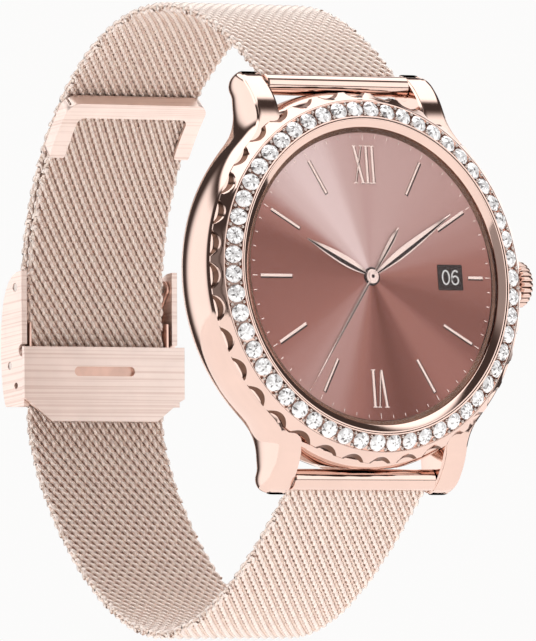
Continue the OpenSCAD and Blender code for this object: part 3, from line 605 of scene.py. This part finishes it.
def make_gems():
    rng = random.Random(7)
    verts, faces = [], []
    ring_r, ring_d = (CHANNEL_IN + CHANNEL_OUT) / 2, BEZEL_TOP + CHANNEL_DROP / 2
    beads_v, beads_f = [], []
    for i in range(GEMS):
        a = 2 * math.pi * (i + 0.5) / GEMS
        radial = Vector((math.sin(a), 0, math.cos(a)))
        up = Vector((0, -math.cos(CHANNEL_SLOPE), 0)) + radial * math.sin(CHANNEL_SLOPE)
        side = Vector((math.cos(a), 0, -math.sin(a)))
        out = side.cross(up)
        centre = radial * ring_r + Vector((0, ring_d, 0))
        pts, fs = gem_mesh(rng, centre, out, up, side, GEM_R)
        base = len(verts)
        verts += [tuple(p) for p in pts]
        faces += [tuple(base + k for k in f) for f in fs]
        half = math.pi / GEMS
        for s in (-0.66, 0.66):
            turn = Vector((math.sin(a + half), 0, math.cos(a + half)))
            up2 = Vector((0, -math.cos(CHANNEL_SLOPE), 0)) + turn * math.sin(CHANNEL_SLOPE)
            side2 = Vector((math.cos(a + half), 0, -math.sin(a + half)))
            out2 = side2.cross(up2)
            at = turn * ring_r + Vector((0, ring_d, 0)) + out2 * s + up2 * 0.02
            add_bead(beads_v, beads_f, at, up2, out2, side2, BEAD_R)
    ob = piece("bezel_stones", verts, faces, MATS["crystal"], "case", ("bezel_crystals",), 1)
    # Each face gets a random grey level: painted reflections.
    layer = ob.data.attributes.new("facet_reflection", "FLOAT", "FACE")
    layer.data.foreach_set("value", [rng.choice(FACET_REFLECTION_TONES) for _ in ob.data.polygons])
    piece("bezel_prongs", beads_v, beads_f, MATS["steel"], "case", sharp=60)


def add_bead(verts, faces, centre, up, out, side, r, rings=5, n=10):
    base = len(verts)
    for i in range(rings):
        e = math.pi / 2 * i / (rings - 0.5)
        for j in range(n):
            a = 2 * math.pi * j / n
            verts.append(tuple(centre + (out * math.cos(a) + side * math.sin(a)) * r * math.cos(e)
                               + up * r * 1.3 * math.sin(e)))
    faces += grid_faces(rings, n, False, True, base)
    faces.append(tuple(base + (rings - 1) * n + j for j in range(n)))
    faces.append(tuple(base + j for j in range(n)))


make_gems()


def make_rings():
    rehaut = rounded([(REHAUT_IN, SEAT), (REHAUT_IN, 0.02), (REHAUT_IN + 0.12, -0.05),
                      (REHAUT_OUT - 0.14, -0.40),
                      (REHAUT_OUT, -0.40), (REHAUT_OUT, SEAT)], 0.05)
    v, f = turned(rehaut, 256)
    piece("rehaut_slope", v, f, MATS["rose_gold_polished"], "case", ("rehaut_ring",), 50)
    # A dark ring in the groove round the display face, in the dark metal: painted shade.
    edge = [(15.55, 0.49), (15.62, 0.42), (REHAUT_IN, 0.36), (REHAUT_IN, 1.5), (15.6, 1.5)]
    v, f = turned(edge, 256)
    piece("display_edge", v, f, PAINTED_SHADE_METAL, "case", ("display_gasket",))
    glass = rounded([(0.01, -0.05), (GLASS_R - 0.15, -0.05), (GLASS_R, 0.1), (GLASS_R, 0.12),
                     (0.01, 0.12)], 0.03)
    v, f = turned(glass, 192)
    ob = piece("glass_cover", v, f, MATS["cover_glass"], "case", ("cover_glass",))
    ob.visible_shadow = False


make_rings()

# ---- Display: sunburst face, markers, numerals, date, hands ----

FACE_D, FACE_R = 0.5, 15.62


class Strokes:
    """Collects small bevelled shapes that stand on the display face."""

    def __init__(self):
        self.verts, self.faces, self.mat = [], [], []

    def slab(self, outline, low, high, mat=0, bevel=0.05):
        """A slab with a chamfered front from an outline of (x, z), low being its deeper face."""
        n = len(outline)
        c = np.mean(np.array(outline), 0)
        base = len(self.verts)
        top = []
        for i, (x, z) in enumerate(outline):
            a, b = np.array(outline[i - 1]), np.array(outline[(i + 1) % n])
            t = (b - a) / (np.linalg.norm(b - a) or 1)
            nrm = np.array([t[1], -t[0]])
            p = np.array([x, z])
            if np.dot(nrm, p - c) < 0:
                nrm = -nrm
            top.append(tuple(p - nrm * bevel))
        for d, pts in ((low, outline), (high + bevel * 0.6, outline), (high, top)):
            self.verts += [(x, d, z) for x, z in pts]
        faces = grid_faces(3, n, False, True, base)
        faces.append(tuple(base + 2 * n + i for i in range(n)))
        faces.append(tuple(base + i for i in range(n)))
        self.faces += faces
        self.mat += [mat] * len(faces)

    def bar(self, a, b, width, low, high, mat=0, bevel=0.05):
        a, b = np.array(a, float), np.array(b, float)
        t = (b - a) / np.linalg.norm(b - a)
        n = np.array([-t[1], t[0]]) * width / 2
        self.slab([tuple(a - n), tuple(b - n), tuple(b + n), tuple(a + n)], low, high, mat, bevel)

    def band(self, points, width, low, high, mat=0, closed=False):
        pts = [np.array(p, float) for p in points]
        n = len(pts)
        left, right = [], []
        for i, p in enumerate(pts):
            a = pts[i - 1] if (i or closed) else p
            b = pts[(i + 1) % n] if (i < n - 1 or closed) else p
            t = (b - a) / np.linalg.norm(b - a)
            m = np.array([-t[1], t[0]]) * width / 2
            left.append(p + m)
            right.append(p - m)
        base = len(self.verts)
        for i in range(n):
            self.verts += [(left[i][0], low, left[i][1]), (left[i][0], high, left[i][1]),
                           (right[i][0], high, right[i][1]), (right[i][0], low, right[i][1])]
        faces = grid_faces(n, 4, closed, True, base)
        if not closed:
            faces += [(base, base + 1, base + 2, base + 3)]
            faces += [tuple(base + 4 * (n - 1) + k for k in range(4))]
        self.faces += faces
        self.mat += [mat] * len(faces)

    def build(self, name, mats, slot, nodes=(), sharp=25):
        return piece(name, self.verts, self.faces, mats, "case", nodes, sharp, self.mat)


def polar(clock, r):
    a = math.radians(clock)
    return np.array([r * math.sin(a), r * math.cos(a)])


def make_face():
    rings = [0.02] + [FACE_R * k / 12 for k in range(1, 13)]
    n = 180
    verts = []
    for r in rings:
        verts += [(x, FACE_D, z) for x, z in (polar(360 * i / n, r) for i in range(n))]
    faces = grid_faces(len(rings), n, False, True) + [tuple(range(n))]
    verts += [(x, FACE_D + 0.9, z) for x, _, z in verts[-n:]]
    faces += grid_faces(2, n, False, True, len(verts) - 2 * n)
    faces.append(tuple(len(verts) - n + i for i in range(n)))
    piece("display_face", verts, faces, MATS["display"], "case", ("display_panel",))


SHADOW = (0.07, -0.09)


def make_markers():
    s = Strokes()
    low = FACE_D
    for hour in (1, 2, 4, 5, 7, 8, 9, 10, 11):
        a, b = polar(hour * 30, 10.3), polar(hour * 30, 14.35)
        s.bar(a + SHADOW, b + SHADOW, 0.44, low, low - 0.03, 1, 0.01)
        s.bar(a, b, 0.30, low, low - 0.10, 0, 0.07)
    s.bar((12.5, -0.09), (14.46, -0.09), 0.40, low, low - 0.03, 1, 0.01)
    s.bar((12.5, 0), (14.4, 0), 0.30, low, low - 0.10, 0, 0.07)
    for k in range(60):
        r0, r1 = (14.75, 15.35) if k % 5 == 0 else (15.0, 15.35)
        s.bar(polar(k * 6, r0), polar(k * 6, r1), 0.10, low, low - 0.03, 0, 0.02)
    return s


def numeral(s, strokes, serifs, width):
    low = FACE_D
    for a, b, w in strokes:
        a, b = np.array(a), np.array(b)
        s.bar(a + SHADOW, b + SHADOW, w + 0.08, low, low - 0.03, 1, 0.01)
        s.bar(a, b, w, low, low - 0.10, 0, 0.05)
    for x0, x1, z in serifs:
        s.bar((x0, z), (x1, z), width, low, low - 0.09, 0, 0.03)


def make_numerals(s):
    top, foot = 14.1, 10.1
    strokes = [((-1.28, top), (-0.30, foot), 0.34), ((-0.34, top), (-1.26, foot), 0.16),
               ((0.30, foot), (0.30, top), 0.34), ((1.06, foot), (1.06, top), 0.34)]
    serifs = [(-1.50, -1.0, top), (-0.58, -0.10, top), (-1.50, -1.0, foot), (-0.58, -0.06, foot),
              (0.04, 1.34, top), (0.04, 1.34, foot)]
    numeral(s, strokes, serifs, 0.12)
    top, foot = -10.1, -14.1
    strokes = [((-0.72, foot), (-0.72, top), 0.34), ((0.28, top), (-0.12, foot), 0.16),
               ((0.34, top), (0.84, foot), 0.34)]
    serifs = [(-1.0, -0.44, top), (-1.0, -0.44, foot), (-0.36, 0.1, foot), (0.56, 1.1, foot)]
    numeral(s, strokes, serifs, 0.12)


def make_date():
    s = Strokes()
    x0, x1, h = 8.65, 11.75, 1.32
    low = FACE_D
    s.slab([(x0, -h), (x1, -h), (x1, h), (x0, h)], low, low - 0.02, 1, 0.02)
    frame_w = 0.13
    for a, b in (((x0, -h), (x1, -h)), ((x1, -h), (x1, h)), ((x1, h), (x0, h)), ((x0, h), (x0, -h))):
        s.bar(a, b, frame_w, low, low - 0.05, 2, 0.03)
    turn = np.linspace(0, 2 * math.pi, 28, endpoint=False)
    ring = [(0.44 * math.sin(t), 0.74 * math.cos(t)) for t in turn]
    s.band([(9.62 + x, z) for x, z in ring], 0.17, low, low - 0.07, 0, True)
    bowl = [(0.42 * math.sin(t), -0.30 + 0.44 * math.cos(t)) for t in
            np.linspace(0, 2 * math.pi, 24, endpoint=False)]
    s.band([(10.82 + x, z) for x, z in bowl], 0.17, low, low - 0.07, 0, True)
    stem = [(-0.42, -0.30), (-0.43, 0.02), (-0.36, 0.38), (-0.20, 0.62), (0.02, 0.74), (0.22, 0.70),
            (0.36, 0.56)]
    s.band([(10.82 + x, z) for x, z in stem], 0.17, low, low - 0.07, 0)
    s.build("date_window", [DATE_WHITE, HAND_DARK, HAND_DARK], "display")


def leaf(direction, length, start, width, widest):
    """Outline points on each side of a hand's spine, and the spine."""
    u = np.array(direction) / np.linalg.norm(direction)
    v = np.array([-u[1], u[0]])
    spine, left, right = [], [], []
    for k in range(25):
        t = k / 24
        s = start + (length - start) * t
        if t < widest:
            w = width * (0.30 + 0.70 * math.sin(math.pi / 2 * t / widest))
        else:
            w = width * (0.16 + 0.84 * math.cos(math.pi / 2 * (t - widest) / (1 - widest)) ** 1.2)
        spine.append(u * s)
        left.append(u * s + v * w / 2)
        right.append(u * s - v * w / 2)
    return spine, left, right


def hand(s, direction, length, start, width, widest, d, bright_left):
    spine, left, right = leaf(direction, length, start, width, widest)
    lift, thick = 0.06, 0.05
    base = len(s.verts)
    n = len(spine)
    lit, dim = (left, right) if bright_left else (right, left)
    rim = [p + (q - p) * 0.72 for p, q in zip(spine, dim)]
    for line, depth in ((lit, d + 0.02), (spine, d - lift), (rim, d + 0.01), (rim, d - 0.02),
                        (dim, d - 0.01), (dim, d + thick), (lit, d + thick)):
        s.verts += [(p[0], depth, p[1]) for p in line]
    mats = [0, 1, 0, 0, 0, 1, 0]
    for row in range(7):
        here, nxt = base + row * n, base + (row + 1) % 7 * n
        for i in range(n - 1):
            s.faces.append((here + i, here + i + 1, nxt + i + 1, nxt + i))
            s.mat.append(mats[row])
    s.faces += [tuple(base + r * n for r in range(7)), tuple(base + r * n + n - 1 for r in range(7))]
    s.mat += [0, 0]


def make_hands():
    s = Strokes()
    hand(s, (-8.0, 4.0), 8.95, 0.7, 1.15, 0.36, 0.40, False)
    hand(s, (10.7, 6.8), 12.7, 0.7, 1.10, 0.36, 0.34, True)
    hand(s, (3.8, 5.3), 6.5, 0.4, 0.62, 0.72, 0.28, True)
    hand(s, (-9.1, -12.5), 15.4, 0.4, 0.34, 0.10, 0.28, False)
    for r, low, high, mat in ((1.0, 0.46, 0.36, 1), (0.78, 0.38, 0.24, 0), (0.55, 0.26, 0.18, 0),
                              (0.2, 0.2, 0.155, 1)):
        turn = np.linspace(0, 2 * math.pi, 40, endpoint=False)
        circle = [(r * math.cos(t), r * math.sin(t)) for t in turn]
        s.slab(circle, low, high, mat, 0.06 if r > 0.3 else 0.02)
    s.build("dial_hands", [HAND_LIGHT, HAND_DARK], "display", sharp=20)


make_face()
marks = make_markers()
make_numerals(marks)
marks.build("dial_markers", [HAND_LIGHT, HAND_DARK], "display")
make_date()
make_hands()

# ---- Crown ----

CROWN_R, CROWN_IN, CROWN_OUT, FLUTES = 2.55, 21.22, 22.92, 24
FLUTE_CUT, SHADE_GAP_WAVE, SHADE_GAP_FROM, SHADE_GAP_TO = 0.26, 0.45, 2, 8  # cut in mm; where the painted shade in the flute gaps lies


def make_crown():
    def fluted(x, r, a):
        wave = abs(math.sin(FLUTES * a / 2))
        cut = FLUTE_CUT * (1 - wave) ** 1.5
        inner = min(1.0, max(0.0, (r - 1.9) / 0.3))
        return r - cut * inner

    span = CROWN_OUT - CROWN_IN
    profile = [(CROWN_IN + 0.5, 1.75), (CROWN_IN, 1.8), (CROWN_IN, 2.2), (CROWN_IN + 0.08, 2.36),
               (CROWN_IN + 0.26, CROWN_R), (CROWN_IN + span * 0.5, CROWN_R),
               (CROWN_OUT - 0.42, CROWN_R - 0.03), (CROWN_OUT - 0.24, CROWN_R - 0.14),
               (CROWN_OUT - 0.12, CROWN_R - 0.34), (CROWN_OUT - 0.08, 2.05),
               (CROWN_OUT - 0.10, 1.85), (CROWN_OUT - 0.04, 1.7), (CROWN_OUT, 1.2), (CROWN_OUT, 0.05)]
    steps = FLUTES * 10
    v, f = lathe_x(profile, 0, steps, fluted)
    cols = len(profile)
    # Faces deep in the gaps between the flutes get the dark metal: painted shade.
    tone = []
    for k in range(len(f)):
        wave = abs(math.sin(FLUTES * math.pi * (k // (cols - 1) + 0.5) / steps))
        in_shaded_gap = wave < SHADE_GAP_WAVE and SHADE_GAP_FROM < k % (cols - 1) < SHADE_GAP_TO
        tone.append(int(k < steps * (cols - 1) and in_shaded_gap))
    piece("crown_fluted", v, f, [MATS["rose_gold_polished"], PAINTED_SHADE_METAL], "crown",
          ("crown_cap",), 35, tone)


make_crown()

# ---- Band: bar tubes and woven wire ----


def make_tubes():
    half = LUG_IN - 0.1
    for tag, z, body in (("12", BAR_Z, "strap_12"), ("6", -BAR_Z, "strap_6")):
        profile = [(-half, 0.82), (-half, SLEEVE_R - 0.12), (-half + 0.12, SLEEVE_R),
                   (-half + 0.5, SLEEVE_R),
                   (0, SLEEVE_R), (half - 0.5, SLEEVE_R), (half - 0.12, SLEEVE_R), (half, SLEEVE_R - 0.12),
                   (half, 0.82)]
        v, f = lathe_x(profile, z, 96)
        piece("bar_tube_" + tag, v, f, MATS["rose_gold_polished"], body,
              ("bar_sleeve_" + tag,))


def heading(deg):
    return np.array([math.cos(math.radians(deg)), math.sin(math.radians(deg))])


def reach(a, ha, pull_a, b, hb, pull_b):
    a, b = np.array(a, float), np.array(b, float)
    span = np.linalg.norm(b - a)
    return [a, a + pull_a * span * heading(ha), b - pull_b * span * heading(hb), b]


def clasp_point(n, v):
    c, s = math.cos(TILT), math.sin(TILT)
    return np.array([CLASP_D + n * c - v * s, n * s + v * c])


def sideways(points, off):
    t = np.gradient(points, axis=0)
    t /= np.linalg.norm(t, axis=1)[:, None]
    return points + off * np.stack([-t[:, 1], t[:, 0]], 1)


def band_paths():
    bar_12, bar_6 = np.array([BAR_D, BAR_Z]), np.array([BAR_D, -BAR_Z])
    top_12, top_6 = (BAR_D + 0.45 * LOOP_D, CREST_12), (BAR_D + 0.525 * LOOP_D, -CREST_6)
    down = math.degrees(TILT) - 90
    reach_r = SLEEVE_R + 0.03
    front_12 = bezier(reach(bar_12 + reach_r * heading(47), 47, 0.45, top_12, 0, 0.3), 400)
    back_12 = bezier(reach(top_12, 0, 0.345, clasp_point(LAYER, 5), down, 0.39), 400)
    front_6 = bezier(reach(bar_6 + reach_r * heading(-40), -40, 0.33, top_6, 0, 0.33), 400)
    back_6 = bezier(reach(top_6, 0, 0.36, clasp_point(0, -8), 180 + down, 0.22), 400)
    path_12 = np.vstack([front_12, back_12[1:], [clasp_point(LAYER, 3.6)]])
    tail = sideways(back_12, -LAYER)[::-1]
    keep = int(round(400 * 0.55))
    path_6 = np.vstack([front_6, back_6[1:], tail[:keep + 1]])
    return path_12, path_6


def resample(path, distances):
    seg = np.linalg.norm(np.diff(path, axis=0), axis=1)
    s = np.concatenate([[0], np.cumsum(seg)])
    d = np.interp(distances, s, path[:, 0])
    z = np.interp(distances, s, path[:, 1])
    eps = 0.15
    d1, d0 = (np.interp(distances + e, s, path[:, 0]) for e in (eps, -eps))
    z1, z0 = (np.interp(distances + e, s, path[:, 1]) for e in (eps, -eps))
    t = np.stack([d1 - d0, z1 - z0], 1)
    t /= np.linalg.norm(t, axis=1)[:, None]
    return np.stack([d, z], 1), t


ROW_PITCH, TURNS, ROW_SHIFT = 0.73, 16, 0.44
# Coil: half length along the band, half thickness, wire radius, steps a turn, sides, share of a turn ahead
FACE_COIL = (0.42, 0.33, 0.215, 12, 6, 0.0)
HEART_COIL = (0.42, 0.14, 0.18, 8, 4, 0.5)


def coil_rows(name, body, path, distances, first_row, coil, mat, nodes=()):
    """One piece of woven wire: each row is a flat coil across the band that hooks into the next."""
    long, thick, wire, turn_steps, sides, ahead = coil
    c, t = resample(path, distances)
    rows = len(c)
    steps = TURNS * turn_steps + 1
    half = MESH_W / 2 - wire
    phase = np.linspace(0, 2 * math.pi * TURNS, steps)
    shift = ((np.arange(rows) + first_row) * ROW_SHIFT + ahead) * 2 * math.pi
    ang = phase[None, :] + shift[:, None]
    x = np.clip((phase / phase[-1] * 2 - 1) * (half + 0.35), -half, half)
    n = np.stack([-t[:, 1], t[:, 0]], 1)
    cos, sin = np.cos(ang), np.sin(ang)
    spine = np.empty((rows, steps, 3))
    spine[..., 0] = x[None, :]
    spine[..., 1:] = (c[:, None, :] + long * cos[..., None] * t[:, None, :]
                      + thick * sin[..., None] * n[:, None, :])
    run = np.gradient(spine, axis=1)
    run /= np.linalg.norm(run, axis=2)[..., None]
    u = np.cross(run, np.array([1.0, 0, 0]))
    u /= np.linalg.norm(u, axis=2)[..., None]
    v = np.cross(run, u)
    side = np.linspace(0, 2 * math.pi, sides, endpoint=False)
    pts = (spine[:, :, None, :] + wire * (np.cos(side)[None, None, :, None] * u[:, :, None, :]
                                          + np.sin(side)[None, None, :, None] * v[:, :, None, :]))
    pts[..., 1] -= SETBACK
    pts = (pts * MM).reshape(-1, 3)
    i, j, k = np.meshgrid(np.arange(rows), np.arange(steps - 1), np.arange(sides), indexing="ij")
    k2 = (k + 1) % sides
    base = (i * steps + j) * sides
    quads = np.stack([base + k, base + k2, base + sides + k2, base + sides + k], -1).reshape(-1, 4)
    mesh = bpy.data.meshes.new(name)
    mesh.from_pydata(pts.tolist(), [], quads.tolist())
    return finish_piece(name, mesh, mat, body, nodes, 80, None, False)


def shade_core_strip(name, body, path, thick=0.03):
    """A dark strip inside the weave: painted shade seen between the wires."""
    seg = np.linalg.norm(np.diff(path, axis=0), axis=1).sum()
    c, t = resample(path, np.linspace(0.3, seg - 0.3, int(seg / 0.6)))
    n = np.stack([-t[:, 1], t[:, 0]], 1)
    verts, half = [], MESH_W / 2 - 0.55
    for p, m in zip(c, n):
        for x, off in ((-half, thick), (half, thick), (half, -thick), (-half, -thick)):
            q = p + m * off
            verts.append((x, q[0], q[1]))
    faces = grid_faces(len(c), 4, False, True)
    faces += [(0, 1, 2, 3), tuple(len(verts) - 4 + k for k in range(4))]
    piece(name, verts, faces, MESH_SHADE_CORE, body)


def make_band():
    path_12, path_6 = band_paths()
    for tag, path, body, tail in (("12", path_12, "strap_12", 0.75), ("6", path_6, "strap_6", 0.62)):
        total = np.linalg.norm(np.diff(path, axis=0), axis=1).sum()
        count = int((total - 0.6 - tail) / ROW_PITCH) + 1
        rows = np.linspace(0.6, total - tail, count)
        split = count // 2
        wire = MATS["rose_gold_mesh"]
        coil_rows("mesh_%s_front" % tag, body, path, rows[:split], 0, FACE_COIL, wire,
                  ("strap_%s_mesh" % tag,))
        coil_rows("mesh_%s_back" % tag, body, path, rows[split:], split, FACE_COIL, wire)
        coil_rows("mesh_%s_heart" % tag, body, path, rows, 0, HEART_COIL, MESH_HEART)
        shade_core_strip("mesh_shade_core_" + tag, body, path)


make_tubes()
make_band()

# ---- Clasp and the smaller pieces, with rounded edges ----

BRUSHED, SATIN = MATS["rose_gold_brushed"], MATS["rose_gold_satin"]
for node, mat, slot, width in (
    ("clasp_cover", BRUSHED, "rose_gold_brushed", 0.10),
    ("lock_plate", BRUSHED, "rose_gold_brushed", 0.07),
    ("tail_cap", BRUSHED, "rose_gold_brushed", 0.06),
    ("clasp_body", SATIN, "rose_gold_satin", 0.04),
    ("strap_12_end", SATIN, "rose_gold_satin", 0.04),
    ("cover_hinge_pins", MATS["steel"], "steel", 0.06),
    ("latch_bar", MATS["steel"], "steel", 0.06),
    ("back_cover", BRUSHED, "rose_gold_satin", 0.08),
    ("sensor_window", MATS["dark_glass"], "dark_glass", 0.10),
    ("back_screws", MATS["steel"], "steel", 0.05),
    ("charging_pins", MATS["gold_contacts"], "gold_contacts", 0.05),
):
    refined(node, mat, width)


TONGUE = (-1.62, -1.52, -2.2, -3.8, 4.6)  # front, back, top, foot and half width, from the clasp's middle


def make_slot_floor():
    """The polished tongue that is seen through the lock plate's slot."""
    front, back, top, foot, half = TONGUE
    ring = [clasp_point(n, v) for n, v in ((front, top), (front, foot), (back, foot), (back, top))]
    verts = [(x, d, z) for x in (-half, half) for d, z in ring]
    faces = grid_faces(2, 4, False, True) + [(0, 1, 2, 3), (4, 5, 6, 7)]
    piece("lock_tongue", verts, faces, SATIN, "lock_plate")


make_slot_floor()

# ---- Carried-over CAD nodes ----


def dress_nodes():
    slots = {s["node"]: s["material_slot"] for s in frame["record"]["subparts"]}
    for name, ob in NODES.items():
        ob.data.materials.clear()
        ob.data.materials.append(MATS[slots[name]])
        ob.data.shade_smooth()


FLOOR_GLOW = 0.30


def make_floor():
    n, radius, height = 96, 1.6, -0.30
    mesh = bpy.data.meshes.new("floor")
    turns = [2 * math.pi * i / n for i in range(n)]
    rim = [(radius * math.cos(t), radius * math.sin(t), height) for t in turns]
    mesh.from_pydata(rim, [], [tuple(range(n))])
    paper = surface("floor", (0.86, 0.85, 0.84), 0, (0.7, 0.9), 6, 0.02, None, 0.02)
    shader = paper.node_tree.nodes["Principled BSDF"]
    shader.inputs["Emission Color"].default_value = (1, 0.97, 0.95, 1)
    shader.inputs["Emission Strength"].default_value = FLOOR_GLOW
    mesh.materials.append(paper)
    ob = bpy.data.objects.new("floor", mesh)
    bpy.context.scene.collection.objects.link(ob)


# ---- Studio light: soft boxes in the surroundings, with dark gaps between them ----

BOXES = [  # azimuth, half width, lowest and highest sine of elevation, brightness
    (-58, 34, -0.16, 0.66, 1.35),
    (140, 42, -0.34, 0.72, 1.25),
    (38, 28, -0.10, 0.66, 1.2),
    (-118, 40, -0.70, 0.50, 0.42),
]
CEILING, CEILING_FROM, CEILING_FADE, GLOW, FADE, FULL_PART = 1.9, 0.72, 0.06, 0.16, 0.16, 0.35


def soft_box(tree, axes, flat, box):
    """Brightest in its middle, and fading out towards its sides, top and foot."""
    azimuth, half, low, high, power = box
    a = math.radians(azimuth)
    across = add(tree, "ShaderNodeVectorMath", {0: flat, 1: (math.cos(a), math.sin(a), 0)},
                 operation="DOT_PRODUCT")
    edge = math.cos(math.radians(half))
    inner = math.cos(math.radians(half * FULL_PART))
    total = power
    for value, start, end in ((across.outputs["Value"], edge, inner), (axes.outputs["Z"], low, low + FADE),
                              (axes.outputs["Z"], high, high - FADE)):
        part = add(tree, "ShaderNodeMapRange", {"Value": value, "From Min": start, "From Max": end},
                   interpolation_type="SMOOTHSTEP")
        total = add(tree, "ShaderNodeMath", {0: part.outputs[0], 1: total}, operation="MULTIPLY").outputs[0]
    return total


def make_world():
    world = bpy.data.worlds.new("studio")
    bpy.context.scene.world = world
    world.use_nodes = True
    tree = world.node_tree
    tree.nodes.clear()
    co = add(tree, "ShaderNodeTexCoord")
    axes = add(tree, "ShaderNodeSeparateXYZ", {0: co.outputs["Generated"]})
    level = add(tree, "ShaderNodeVectorMath", {0: co.outputs["Generated"], 1: (1, 1, 0)},
                operation="MULTIPLY")
    flat = add(tree, "ShaderNodeVectorMath", {0: level.outputs[0]}, operation="NORMALIZE").outputs[0]
    total = add(tree, "ShaderNodeMapRange", {"Value": axes.outputs["Z"], "From Min": CEILING_FROM,
                                             "From Max": CEILING_FROM + CEILING_FADE,
                                             "To Min": GLOW, "To Max": CEILING}, interpolation_type="SMOOTHSTEP").outputs[0]
    for box in BOXES:
        glow = soft_box(tree, axes, flat, box)
        total = add(tree, "ShaderNodeMath", {0: total, 1: glow}, operation="ADD").outputs[0]
    warm = ramp(tree, total, [(0.0, (0.30, 0.20, 0.17)), (1.0, (1, 1, 1))])
    lit = add(tree, "ShaderNodeBackground", {"Color": warm, "Strength": total})
    seen = add(tree, "ShaderNodeBackground", {"Color": (0.97, 0.965, 0.96, 1), "Strength": 1.0})
    path = add(tree, "ShaderNodeLightPath")
    mix = add(tree, "ShaderNodeMixShader", {0: path.outputs["Is Camera Ray"], 1: lit.outputs[0],
                                            2: seen.outputs[0]})
    out = add(tree, "ShaderNodeOutputWorld")
    tree.links.new(mix.outputs[0], out.inputs["Surface"])
    bpy.context.scene.view_settings.view_transform = "Standard"


dress_nodes()
make_floor()
make_world()
